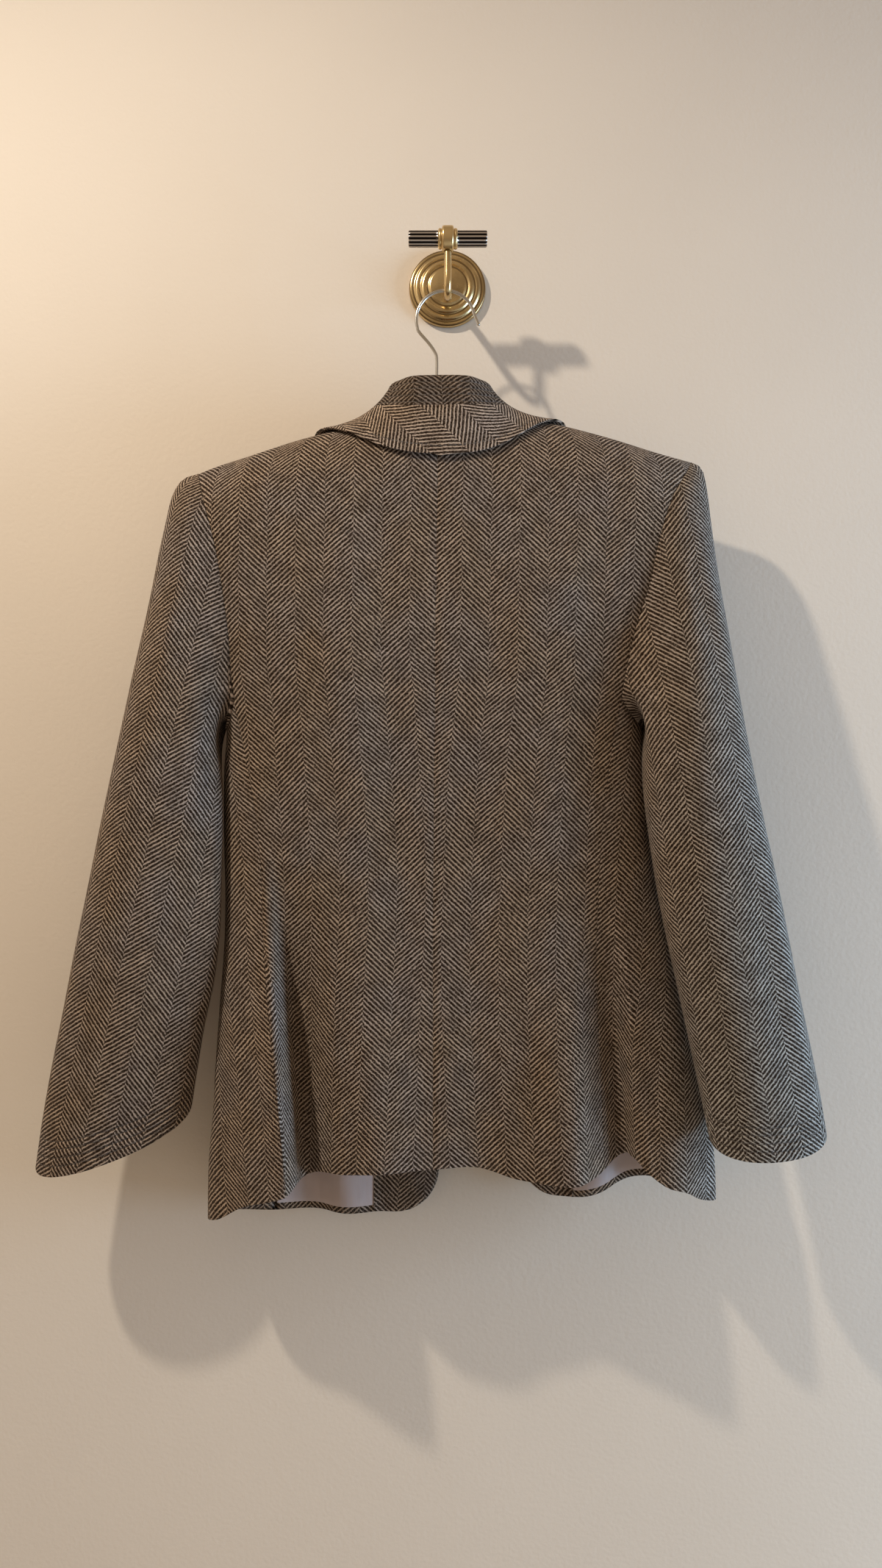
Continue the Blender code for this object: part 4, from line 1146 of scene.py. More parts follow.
def inner_part(side, start, end, insets, depth):
    """Part of a front's own form, this deep under its face, between two shares of its width.

    insets are measured in from the hem, the front edge and the side seam.
    """
    edge = FRONT_EDGE[side]
    outer_edge = shifted(SIDE_SEAM[side, FRONT], -side * SEAM_GAP / 2)
    hem_of = front_hem(side)
    made = []
    for share in edged(INSIDE_COLUMNS, INSIDE_WIDTH):
        t = mix(start, end, share)
        hem = hem_of(mix(edge(HEM_GUIDE), outer_edge(HEM_GUIDE), t)) + insets[0]
        last = mix(hem, ARMHOLE_CORNER, INSIDE_TOP)
        line = []
        for r in edged(LOW_ROWS, last - hem):
            height = mix(hem, last, r)
            first = edge(height) + side * insets[1]
            second = outer_edge(height) - side * insets[2]
            point = body_point(mix(first, second, t), height, FRONT, side)
            normal = body_normal(point, FRONT, side)
            line.append((point - normal * depth, -normal))
        made.append(line)
    return pair_grids(made)


def make_inside(side, word):
    """The facing and the lining, which lie on the front's inner face."""
    grid, normals = inner_part(side, 0.0, FACING_SHARE - INSIDE_GAP / 2,
                               (FACING_INSET, FACING_INSET, 0), 2 * CLOTH + LAYER_GAP)
    sew(f"facing_{word}", grid, normals, arc_marks(grid, lambda i: FACING_MARK))
    grid, normals = inner_part(side, FACING_SHARE + INSIDE_GAP / 2, 1.0,
                               (HEM_TURN, 0, FACING_INSET), CLOTH + LAYER_GAP + LINING)
    sew(f"lining_{word}", grid, normals, arc_marks(grid, lambda i: 0.0), "satin")


# ---------------------------------------------------------------- sleeves

SLEEVE_ROUND = 116      # points round a sleeve
SLEEVE_ROWS = 100
CUFF_ROWS = (8.0, 14.5, 21.0, 27.0)
GROOVE_DEPTH = 0.95
GROOVE_HALF = 0.8
GROOVE_STEPS = (-1.6, -0.9, -0.4, 0, 0.4, 0.9, 1.6)
GROOVE_ROOM = 2.0       # no other row lies this near a groove
HEAD_ROLL = 2.6
HEAD_RISE = 2.5
HEAD_FADE = 22.0
RIPPLE_FADE = 0.4
RIPPLE_ROUND = 45.0     # millimetres round a sleeve for one radian
END_ROUNDNESS = 0.92    # of the sleeve's oval at its inner and outer ends: 1 would be an ellipse
FACE_ROUNDNESS = 0.85
SLEEVE_AXIS = {
    LEFT: Vector((-0.2186, 0, -0.9758)),
    RIGHT: Vector((0.165, 0, -0.9863)),
}


def groove(distance, places):
    """How far stitching pulls the cloth in."""
    return sum(GROOVE_DEPTH * math.exp(-((distance - place) / GROOVE_HALF) ** 2)
               for place in places)


def grooved_shares(shares, length, places):
    """Adds close steps round each groove, whose place is measured back from the end."""
    found = list(shares)
    for place in places:
        found = [s for s in found if abs((1 - s) * length - place) > GROOVE_ROOM]
        found += [1 - (place + step) / length for step in GROOVE_STEPS]
    return sorted(found)


def armhole(side):
    """The armhole's edge as (point, normal), from the underarm up the back and down the front."""
    panels = body_panels()

    def pairs(name, pick):
        points, normals = panels[name, side]
        return pick([list(zip(a, b)) for a, b in zip(points, normals)])

    under = pairs("side", lambda rows: rows[-1])
    middle = len(under) // 2
    back = pairs("back", lambda rows: [row[-1] for row in rows])
    front = pairs("front", lambda rows: [row[-1] for row in rows])
    corner = next(i for i, (p, _) in enumerate(back) if p.z > ARMHOLE_CORNER + 0.01)
    loop = list(reversed(under[:middle + 1])) + back[corner:]
    tip = len(loop) - 1
    loop += list(reversed(front[corner:-1])) + list(reversed(under[middle + 1:]))
    return loop, tip


def loop_shares(points, tip):
    """Each point's angle round the loop: 0 under the arm, half a turn at the shoulder tip."""
    count = len(points)
    steps = [(points[(i + 1) % count] - points[i]).length for i in range(count)]
    up = sum(steps[:tip])
    down = sum(steps[tip:])
    angles = []
    gone = 0.0
    for i in range(count):
        if i <= tip:
            angles.append(math.pi * gone / up)
        else:
            angles.append(math.pi * (1 + (gone - up) / down))
        gone += steps[i]
    return angles


def even_loop(loop, tip, count):
    """The loop's points and normals at even angles."""
    angles = loop_shares([point for point, _ in loop], tip) + [2 * math.pi]
    loop = loop + loop[:1]
    found = []
    place = 0
    for step in range(count):
        angle = 2 * math.pi * step / count
        while angles[place + 1] < angle:
            place += 1
        t = (angle - angles[place]) / (angles[place + 1] - angles[place])
        (a, first), (b, second) = loop[place], loop[place + 1]
        found.append((angle, mix(a, b, t), mix(first, second, t).normalized()))
    return found


def ring_point(ring, angle):
    """A point on one sleeve ring, an oval between its inner and outer ends."""
    lengthwise = math.copysign(abs(math.cos(angle)) ** END_ROUNDNESS, math.cos(angle))
    sideways = math.copysign(abs(math.sin(angle)) ** FACE_ROUNDNESS, math.sin(angle))
    bulge = -ring.back if sideways > 0 else -ring.front
    x = mix(ring.outer_x, ring.inner_x, (1 + lengthwise) / 2)
    z = mix(ring.outer_z, ring.inner_z, (1 + lengthwise) / 2) - ring.dip * sideways
    return Vector((x, ring.middle + bulge * sideways, z))


def ripple_out(side, number, angle):
    out = 0.0
    for ripple in SLEEVE_RIPPLES[side]:
        t = (number - ripple.ring_top) / (ripple.ring_low - ripple.ring_top)
        if not 0 < t < 1:
            continue
        line = math.radians(mix(ripple.round_top, ripple.round_low, t))
        off = (angle - line + math.pi) % (2 * math.pi) - math.pi
        off = off * RIPPLE_ROUND / ripple.width
        out += ripple.out * eased(min(t, 1 - t) / RIPPLE_FADE) * math.exp(-off * off)
    return out


def head_out(gone, angle):
    """The sleeve's head stands up a little past the armhole's seam, most at the shoulder."""
    high = 0.5 * (1 - math.cos(angle))
    return HEAD_ROLL * high * (1 - math.exp(-gone / HEAD_RISE)) * math.exp(-gone / HEAD_FADE)


def sleeve_form(side, table):
    """Rows of points and normals round a sleeve, from the armhole to the cuff."""
    loop, tip = armhole(side)
    even = even_loop(loop, tip, SLEEVE_ROUND)
    points = [point for _, point, _ in even]
    edge = []
    for i, (_, point, normal) in enumerate(even):
        along = (points[(i + 1) % len(points)] - points[i - 1]).normalized()
        away = along.cross(normal).normalized()
        if away.dot(Vector((side, 0, 0.5))) < 0:
            away.negate()
        edge.append(point + away * SEAM_GAP)
    top = max(points, key=lambda p: p.z)
    under = points[0]
    start = table[0]._replace(outer_x=top.x, outer_z=top.z, inner_x=under.x, inner_z=under.z,
                              armhole=1.0)
    columns = numbered([start] + list(table))
    own = [edge[i] - ring_point(start, even[i][0]) for i in range(len(even))]

    def ring_at(number):
        ring = Ring(*(columns[name](number) for name in Ring._fields))
        return [ring_point(ring, even[i][0]) + own[i] * ring.armhole for i in range(len(even))]

    fine = [i / 20 for i in range(20 * len(table) + 1)]
    middles = [sum(ring_at(n), Vector()) / len(even) for n in fine]
    gone = distances(middles)
    length = gone[-1]
    number_of = through(list(zip(gone, fine)))
    shares = grooved_shares(edged(SLEEVE_ROWS, length), length, CUFF_ROWS)
    grid = [ring_at(number_of(s * length)) for s in shares]
    centres = [sum(row, Vector()) / len(row) for row in grid]
    normals = grid_normals(grid, lambda i, j: grid[i][j] - centres[i], closed=True)
    for i, share in enumerate(shares):
        number = number_of(share * length) - 1
        for j, (angle, _, _) in enumerate(even):
            out = ripple_out(side, number, angle) - groove((1 - share) * length, CUFF_ROWS)
            out += head_out(share * length, angle)
            grid[i][j] = grid[i][j] + normals[i][j] * out
    for rows in (grid, normals):
        for row in rows:
            row.append(row[0])
    return grid, normals, shares, length


def sleeve_marks(side, grid, turn=1):
    """Marks down the sleeve's axis, and round it from its back's middle, or its front's at turn -1."""
    axis = SLEEVE_AXIS[side]
    across = Vector((axis.z * side, 0, -axis.x * side)) * -turn
    middle = len(grid[0]) * (2 - turn) // 4
    marks = []
    for row in grid:
        line = [None] * len(row)
        line[middle] = row[middle].dot(across)
        for step, stop in ((1, len(row)), (-1, -1)):
            for j in range(middle + step, stop, step):
                move = row[j] - row[j - step]
                flat = move - axis * move.dot(axis)
                line[j] = line[j - step] + step * flat.length
        marks.append([(u + SLEEVE_MARK[side], -row[j].dot(axis)) for j, u in enumerate(line)])
    return marks


def make_sleeve(side, word):
    grid, normals, shares, length = sleeve_form(side, LEFT_SLEEVE if side == LEFT else RIGHT_SLEEVE)
    from_cuff = [(1 - share) * length for share in shares]
    lines = [stitch_line(grid, normals, from_cuff, place) for place in CUFF_ROWS]
    sew(f"sleeve_{word}", grid, normals, sleeve_marks(side, grid),
        stitched=(f"cuff_{word}_stitches", lines), column_ends=(False, False),
        marks_beyond=sleeve_marks(side, grid, -1))


# ---------------------------------------------------------------- stitching

STITCH = 3.0
STITCH_STEP = 4.2
STITCH_START = 0.6
STITCH_LIFT = 0.12
THREAD_RADIUS = 0.32


def stitch_line(grid, normals, depths, place):
    """(point, normal) along the row whose depth comes nearest to this place."""
    i = min(range(len(grid)), key=lambda k: abs(depths[k] - place))
    return list(zip(grid[i], normals[i]))


def lay_thread(shape, radius, length, matrix, sides):
    bmesh.ops.create_cone(shape, cap_ends=True, segments=sides, radius1=radius * MM,
                          radius2=radius * MM, depth=length * MM, matrix=matrix)


def stitches(name, lines):
    """Short threads laid along lines of (point, normal) on the cloth."""
    shape = bmesh.new()
    for line in lines:
        gone = distances([point for point, _ in line])
        place = 0
        for number in range(int(gone[-1] / STITCH_STEP)):
            ends = []
            for start in (STITCH_START, STITCH_START + STITCH):
                at = min(number * STITCH_STEP + start, gone[-1] - 0.01)
                while gone[place + 1] < at:
                    place += 1
                while gone[place] > at:
                    place -= 1
                t = (at - gone[place]) / (gone[place + 1] - gone[place])
                (a, first), (b, second) = line[place], line[place + 1]
                ends.append(mix(a, b, t) + mix(first, second, t) * STITCH_LIFT)
            low, high = ends
            middle = ((low + high) / 2 + LEVEL) * MM
            turn = (high - low).to_track_quat("Z", "Y").to_matrix().to_4x4()
            lay_thread(shape, THREAD_RADIUS, (high - low).length, Matrix.Translation(middle) @ turn, 6)
    for face in shape.faces:
        face.smooth = len(face.verts) == 4
    made = mesh_object(name, shape, material("thread"))
    return dress(made, "wool_herringbone")


# ---------------------------------------------------------------- collar and lapels

COLLAR_COLUMN = {name: column(COLLAR, "along", name) for name in Station._fields[1:]}
LAPEL_COLUMN = numbered(LAPEL)
COLLAR_LENGTH = 360.0
COLLAR_COLUMNS = 86
STAND_ROWS = 8
FOLD_STEP = 15          # degrees
BAND_SHARES = 12
FALL_SHARES = 24
BAND_ROWS = (3.5, 10.5, 17.5, 24.5)
EDGE_ROWS = (9.0,)


def neck_edge(side):
    """(point, normal, station) along the neckline, from the centre back to the collar's end."""
    panels = body_panels()
    points, normals = panels["back", side]
    back = list(zip(points[-1], normals[-1]))[:panels["neck", side] + 1]
    points, normals = panels["front", side]
    front = [(row[0], found[0]) for row, found in zip(points, normals)]
    front = front[-2:-1 - len(ROLL_SHARES):-1]
    found = []
    for part, start in ((back, 0), ([back[-1]] + front, 1)):
        gone = distances([point for point, _ in part])
        for (point, normal), far in zip(part, gone):
            if start == 0 or far > 0:
                found.append((point, normal, start + far / gone[-1]))
    return found


def collar_profile(base, side, along):
    """The collar's middle line over one station, which way its inside faces, and the fall's start."""
    apex = Vector((
        COLLAR_CENTRE + side * COLLAR_COLUMN["fold_x"](along),
        COLLAR_COLUMN["fold_y"](along),
        COLLAR_COLUMN["fold_z"](along),
    ))
    turn = COLLAR_COLUMN["edge_turn"](along)
    edge_x = COLLAR_CENTRE + side * COLLAR_COLUMN["edge_x"](along)
    face = BACK if turn < 0 else FRONT
    edge = body_point(edge_x, turn_height(edge_x, turn), face)
    edge += body_normal(edge, face) * (COLLAR_LIFT + CLOTH / 2)
    up = (apex - base).normalized()
    middle = apex - up * (COLLAR_FOLD + CLOTH / 2)
    over = edge - middle
    over = (over - up * over.dot(up)).normalized()
    line = [mix(base, middle - over * COLLAR_FOLD, t) for t in spaced(STAND_ROWS)[:-1]]
    facing = [over] * len(line)
    for degrees in range(-90, 91, FOLD_STEP):
        turned = math.radians(degrees)
        out = over * math.sin(turned) + up * math.cos(turned)
        line.append(middle + out * COLLAR_FOLD)
        facing.append(-out)
    start = line[-1]
    bulge = COLLAR_COLUMN["bulge"](along)
    length = (edge - start).length
    join = BAND_DEPTH / length
    gap = SEAM_GAP / 2 / length
    band = grooved_shares(edged(BAND_SHARES, BAND_DEPTH, start=False), BAND_DEPTH, BAND_ROWS)
    lower = edged(FALL_SHARES, length - BAND_DEPTH)
    steps = [s * (join - gap) for s in band if s > 0.02]
    steps += [mix(join + gap, 1, s) for s in lower]
    for t in steps:
        line.append(mix(start, edge, t) + over * bulge * 4 * t * (1 - t))
        facing.append(-over)
    return line, facing, len(line) - len(lower)


def collar_seam():
    """(point, normal, station) all along the neckline, from the left end of the collar to the right."""
    left = neck_edge(LEFT)
    right = neck_edge(RIGHT)
    seam = [(point, normal, -along) for point, normal, along in reversed(left[1:])]
    seam.append(((left[0][0] + right[0][0]) / 2, left[0][1], 0.0))
    return seam + right[1:]


def collar_form():
    """Grids of points and outer normals of the collar, and the number of the fall's first row."""
    seam = collar_seam()
    away = edge_away([s[0] for s in seam], [s[1] for s in seam], Vector((NECK_CENTRE, PLANE, -100)))
    columns = []
    for station in [-2 + 4 * share for share in edged(COLLAR_COLUMNS, COLLAR_LENGTH)]:
        k = bisect_right([s[2] for s in seam], station) - 1
        k = min(max(k, 0), len(seam) - 2)
        t = (station - seam[k][2]) / (seam[k + 1][2] - seam[k][2])
        point = mix(seam[k][0], seam[k + 1][0], t)
        normal = mix(seam[k][1], seam[k + 1][1], t).normalized()
        off = mix(away[k], away[k + 1], t).normalized()
        outside = point + off * SEAM_GAP
        inside = point - normal * CLOTH + off * SEAM_GAP
        side = LEFT if station < 0 else RIGHT
        line, facing, split = collar_profile((outside + inside) / 2, side, abs(station))
        columns.append((line, facing, inside))
    grid = [list(row) for row in zip(*(c[0] for c in columns))]
    faced = [list(row) for row in zip(*(c[1] for c in columns))]
    inner = grid_normals(grid, lambda i, j: faced[i][j])
    normals = [[-n for n in row] for row in inner]
    outer = [[p + n * (CLOTH / 2) for p, n in zip(a, b)] for a, b in zip(grid, normals)]
    outer[0] = [c[2] for c in columns]
    return outer, normals, split


def make_collar_part(name, grid, normals, marks, rows, finish):
    """One of the collar's two pieces, with its stitched rows sunk in."""
    gone = distances([row[len(row) // 2] for row in grid])
    depths = [gone[-1] - far for far in gone]
    lines = []
    for place in rows:
        sink(grid, normals, depths, place)
        lines.append(stitch_line(grid, normals, depths, place))
    sew(name, grid, normals, marks, finish, (f"{name}_stitches", lines),
        row_ends=(name == "collar_fall", True))


def make_collar():
    """The band and, cut on the bias, the fall."""
    outer, normals, split = collar_form()
    marks = collar_marks(outer)
    bias = [[((a + b) / math.sqrt(2), (a - b) / math.sqrt(2)) for a, b in row] for row in marks]
    make_collar_part("collar_band", outer[:split], normals[:split], marks[:split], BAND_ROWS,
                     "band")
    make_collar_part("collar_fall", outer[split:], normals[split:], bias[split:], EDGE_ROWS,
                     "fall")


def sink(grid, normals, depths, place):
    """Pulls the rows of a grid in where a line is stitched."""
    for i, row in enumerate(grid):
        down = groove(depths[i], (place,))
        if down > 0.01:
            grid[i] = [p - n * down for p, n in zip(row, normals[i])]


def collar_marks(grid):
    """Marks along the collar from its centre, and down it from the neck."""
    middle = len(grid[0]) // 2
    marks = []
    down = [0.0] * len(grid[0])
    for i, row in enumerate(grid):
        if i:
            down = [d + (p - q).length for d, p, q in zip(down, row, grid[i - 1])]
        left = [-far for far in distances(row[middle::-1])]
        along = left[:0:-1] + distances(row[middle:])
        marks.append([(a, -d) for a, d in zip(along, down)])
    return marks


def edge_away(points, normals, towards):
    """At each point of an edge, the direction in the cloth that leads off it."""
    found = []
    last = len(points) - 1
    for i, (point, normal) in enumerate(zip(points, normals)):
        along = points[min(i + 1, last)] - points[max(i - 1, 0)]
        away = along.cross(normal).normalized()
        if away.dot(towards - point) < 0:
            away.negate()
        found.append(away)
    return found


# The lapel's roll round the front's edge: off the edge, and out from the front
LAPEL_ROLL = ((1.5, -1.6), (1.85, -1.0), (2.0, 0.0), (1.7, 1.0), (1.0, 1.6))
LAPEL_ROWS = 56
LAPEL_LENGTH = 190.0
LAPEL_COLUMNS = 18
LAPEL_WIDTH = 56.0
LAPEL_START = 3.0


def make_lapel(side, word):
    """The turned-back part of the front, rolled over the front's edge and lying on it."""
    grid = []
    hints = []
    last = len(LAPEL) - 1
    for step in edged(LAPEL_ROWS, LAPEL_LENGTH):
        row = step * last
        roll_z = LAPEL_COLUMN["roll_z"](row)
        roll_x = FRONT_EDGE[side](roll_z)
        start = body_point(roll_x, roll_z, FRONT, side)
        out = body_normal(start, FRONT, side)
        below = body_point(FRONT_EDGE[side](roll_z - 1), roll_z - 1, FRONT, side)
        off = (below - start).cross(out).normalized()
        if off.x * side > 0:
            off.negate()
        line = [start + off * a + out * b for a, b in LAPEL_ROLL]
        hint = [off, off, off + out, out, out]
        for t in edged(LAPEL_COLUMNS, LAPEL_WIDTH, start=False):
            reach = mix(LAPEL_START, LAPEL_COLUMN["width"](row), t)
            z = mix(roll_z, LAPEL_COLUMN["edge_z"](row), t)
            point = body_point(roll_x + side * reach, z, FRONT, side)
            normal = body_normal(point, FRONT, side)
            line.append(point + normal * (LAPEL_LIFT + CLOTH / 2))
            hint.append(normal)
        grid.append(line)
        hints.append(hint)
    normals = grid_normals(grid, lambda i, j: hints[i][j])
    outer = [[p + n * (CLOTH / 2) for p, n in zip(a, b)] for a, b in zip(grid, normals)]
    marks = [[(far, point.z) for far, point in zip(distances(row), row)] for row in outer]
    sew(f"lapel_{word}", outer, normals, marks,
        column_ends=(False, True))


# ---------------------------------------------------------------- solid pieces

MERGED = 0.000005       # points this near are one, in metres

# Rings along each swept piece and points round it, and steps round each turned one
HANGER_RINGS = 64
HANGER_SIDES = 32
WIRE_RINGS = 150
WIRE_SIDES = 20
ARM_RINGS = 70
ARM_SIDES = 32
BAR_SIDES = 156         # each flute has twelve
ROSE_STEPS = 112
BUTTON_STEPS = 56


def ringed(name, rings, finish):
    """A closed body through rings of points in millimetres, its ends filled."""
    count = len(rings[0])
    shape = grid_shape(len(rings), count + 1, lambda i, j: (rings[i][j % count] + LEVEL) * MM)
    bmesh.ops.remove_doubles(shape, verts=shape.verts, dist=MERGED)
    rim = [edge for edge in shape.edges if edge.is_boundary]
    if rim:
        bmesh.ops.holes_fill(shape, edges=rim, sides=0)
    bmesh.ops.recalc_face_normals(shape, faces=shape.faces)
    for face in shape.faces:
        face.smooth = len(face.verts) < 5
    return mesh_object(name, shape, finish)


def spun(name, centre, profile, steps, finish):
    """A body turned about an axis square to the wall, from (radius, out) pairs in millimetres."""
    shape = bmesh.new()
    verts = [shape.verts.new(centre + Vector((radius, out, 0)) * MM) for radius, out in profile]
    edges = [shape.edges.new(pair) for pair in zip(verts, verts[1:])]
    bmesh.ops.spin(shape, geom=verts + edges, cent=centre, axis=(0, 1, 0), angle=2 * math.pi,
                   steps=steps, use_merge=True)
    bmesh.ops.remove_doubles(shape, verts=shape.verts, dist=MERGED)
    bmesh.ops.recalc_face_normals(shape, faces=shape.faces)
    for face in shape.faces:
        face.smooth = True
    return mesh_object(name, shape, finish)


def turns(count):
    """Even angles round a circle."""
    return [2 * math.pi * step / count for step in range(count)]


def swept(points, radii, sides):
    """Rings of a round bar along a line of points."""
    rings = []
    last = len(points) - 1
    side = Vector((0.3, 1, 0.2))
    for i, point in enumerate(points):
        ahead = (points[min(i + 1, last)] - points[max(i - 1, 0)]).normalized()
        side = (side - ahead * side.dot(ahead)).normalized()
        up = ahead.cross(side)
        rings.append([point + (side * math.cos(angle) + up * math.sin(angle)) * radii[i]
                      for angle in turns(sides)])
    return rings


HANGER_LEFT = -203.0
HANGER_RIGHT = 198.0
HANGER_PEAK = 9.0
HANGER_PEAK_HALF = 45.0
HANGER_CLEAR = 0.8
HANGER_HALF_WIDTH = 9.0
HANGER_END_HALF_WIDTH = 13.0
HANGER_HALF_HEIGHT = 15.0
HANGER_END_HALF_HEIGHT = 11.0
HANGER_EDGE = 3.0       # radius of its ends' edges

WIRE_RADIUS = 1.4
HOOK_X = -2.0
HOOK_Z = -46.2
HOOK_RADIUS = 26.0
SHANK_X = -9.8
SHANK_FOOT = 0.8

# The wire from its shank over the loop to its open end, in the plane of the shoulders
Turn = namedtuple("Turn", "x z")
WIRE_SHANK = (
    Turn(SHANK_X, -110),
    Turn(SHANK_X, -96),
    Turn(SHANK_X, -82),
    Turn(SHANK_X - 1.2, -76),
    Turn(SHANK_X - 6.8, -67.5),
)
WIRE_LOOP_START = 205   # degrees
WIRE_LOOP_END = 12
WIRE_LOOP_STEPS = 20
WIRE_END = (
    Turn(HOOK_X + 28, -47),
    Turn(HOOK_X + 29.6, -50.5),
)
WIRE_TIP = (0, 25, 50, 70, 85)      # degrees round its end


def hanger_top(x):
    """Just under the shoulders' inner side, with a peak in the middle."""
    off = min(abs(x - NECK_CENTRE) / HANGER_PEAK_HALF, 1)
    rise = HANGER_PEAK * 0.5 * (1 + math.cos(math.pi * off))
    return RIDGE_HEIGHT(x) - CLOTH - HANGER_CLEAR + rise


def make_hanger():
    rings = []
    for t in spaced(HANGER_RINGS):
        x = mix(HANGER_LEFT, HANGER_RIGHT, t)
        end = abs(2 * t - 1) ** 3
        width = mix(HANGER_HALF_WIDTH, HANGER_END_HALF_WIDTH, end)
        height = mix(HANGER_HALF_HEIGHT, HANGER_END_HALF_HEIGHT, end)
        near = min(min(t, 1 - t) * (HANGER_RIGHT - HANGER_LEFT) / HANGER_EDGE, 1)
        trim = HANGER_EDGE * (1 - math.sqrt(1 - (1 - near) ** 2))
        middle = hanger_top(x) - height
        rings.append([Vector((x, PLANE + (width - trim) * math.cos(angle),
                              middle + (height - trim) * math.sin(angle)))
                      for angle in turns(HANGER_SIDES)])
    dress(ringed("hanger_beech", rings, material("wood")), "beech", "hanger")


def make_hanger_hook():
    rough = [Turn(SHANK_X, hanger_top(SHANK_X) - SHANK_FOOT), *WIRE_SHANK]
    for t in spaced(WIRE_LOOP_STEPS):
        angle = math.radians(mix(WIRE_LOOP_START, WIRE_LOOP_END, t))
        rough.append(Turn(HOOK_X + HOOK_RADIUS * math.cos(angle),
                          HOOK_Z + HOOK_RADIUS * math.sin(angle)))
    rough += WIRE_END
    place = numbered(rough)
    count = len(rough) - 1
    points = [Vector((place["x"](t * count), PLANE, place["z"](t * count)))
              for t in spaced(WIRE_RINGS)]
    tip = points.pop()
    ahead = (tip - points[-1]).normalized()
    radii = [WIRE_RADIUS] * len(points)
    for angle in map(math.radians, WIRE_TIP):
        points.append(tip + ahead * WIRE_RADIUS * 0.8 * math.sin(angle))
        radii.append(WIRE_RADIUS * math.cos(angle))
    made = ringed("hanger_hook_wire", swept(points, radii, WIRE_SIDES), material("steel"))
    dress(made, "steel_wire", "hanger_hook")


ARM_RADIUS = 3.25
BAR_Y = -73.0
BAR_Z = 20.0
BAR_RADIUS = 7.0
BAR_HALF = 34.5
BAR_COLLAR_RADIUS = 11.0
FLUTES = 13
FLUTE_DEPTH = 0.9
FLUTE_RUN = 1.5         # over which a flute reaches its depth
FLUTE_WIDTH = 0.6       # under 1, the flutes are narrower than the ridges
GRIP_START = 8.8        # from the bar's middle
ROSE_RADIUS = 36.0
ROSE_EDGE = 50          # degrees: steeper edges stay sharp
ROSE_SHADED_HOLLOWS = (18.6, 26.0, 32.0, 34.9)         # radii of the rings where painted shade darkens the hollows

# The arm's bends from the rose to the bar
Bend = namedtuple("Bend", "y z")
ARM = (
    Bend(-11, -6),
    Bend(-24, -8),
    Bend(-38, -15),
    Bend(-50, -22),
    Bend(-60, -25.2),
    Bend(-68, -24.4),
    Bend(-72.6, -18),
    Bend(-73, -6),
)
# Turned outlines: the rose out from the wall, and half of the bar out from its middle
Round = namedtuple("Round", "across radius")
ROSE = (
    Round(10.0, 0), Round(10.0, 15.5), Round(9.7, 16.6), Round(8.7, 17.6), Round(8.3, 18.6),
    Round(8.5, 19.8), Round(9.1, 21.0), Round(9.2, 22.2), Round(8.8, 23.6), Round(7.6, 24.7),
    Round(6.8, 25.4), Round(6.7, 26.3), Round(7.1, 27.3), Round(7.2, 28.4), Round(6.8, 29.6),
    Round(5.6, 30.6), Round(4.8, 31.3), Round(4.8, 32.3), Round(4.9, 33.6), Round(4.5, 35.0),
    Round(3.6, 35.8), Round(2.4, ROSE_RADIUS), Round(0.0, ROSE_RADIUS), Round(0.0, 0),
)
BAR = (
    Round(BAR_HALF, 0), Round(BAR_HALF, 6.2), Round(34.3, 6.7), Round(33.8, BAR_RADIUS),
    Round(8.6, BAR_RADIUS), Round(8.3, 7.8), Round(7.6, 8.6), Round(6.8, 8.8), Round(6.0, 8.5),
    Round(5.5, 8.2), Round(5.2, 9.2), Round(4.8, 10.3), Round(4.0, 10.9),
    Round(3.0, BAR_COLLAR_RADIUS), Round(0.0, BAR_COLLAR_RADIUS),
)


def make_rose():
    outline = [(row.radius, -row.across) for row in ROSE]
    rose = spun("hook_rose_brass", Vector(), outline, ROSE_STEPS, material("rose"))
    rose.data.set_sharp_from_angle(angle=math.radians(ROSE_EDGE))
    dress(rose, "brass", "hook_rose")


def make_arm():
    rows = [*ARM, Bend(BAR_Y, BAR_Z - BAR_COLLAR_RADIUS - SEAM_GAP)]
    place = numbered(rows)
    points = [Vector((0, place["y"](i), place["z"](i)))
              for i in (t * (len(rows) - 1) for t in spaced(ARM_RINGS))]
    rings = swept(points, [ARM_RADIUS] * len(points), ARM_SIDES)
    dress(ringed("hook_arm_brass", rings, material("brass")), "brass", "hook_arm")


def make_bar():
    """The bar, whose two grips are fluted."""
    outline = [(row.across, row.radius) for row in reversed(BAR)]
    half = []
    for (a, r), (b, q) in zip(outline, outline[1:]):
        steps = spaced(12 if b - a > 10 else 2)[:-1]
        half += [(mix(a, b, t), mix(r, q, t)) for t in steps]
    half.append((BAR_HALF, 3.0))
    rings = []
    for across, radius in [(-a, r) for a, r in reversed(half)] + half[1:]:
        depth = FLUTE_DEPTH * min(max((abs(across) - GRIP_START) / FLUTE_RUN, 0), 1)
        line = []
        for angle in turns(BAR_SIDES):
            flute = abs(math.sin(FLUTES * angle / 2)) ** FLUTE_WIDTH
            reach = max(radius - depth * (1 - flute), 0.4 * radius)
            line.append(Vector((across, BAR_Y + reach * math.sin(angle),
                                BAR_Z + reach * math.cos(angle))))
        rings.append(line)
    dress(ringed("hook_bar_brass", rings, material("grip")), "brass", "hook_bar")


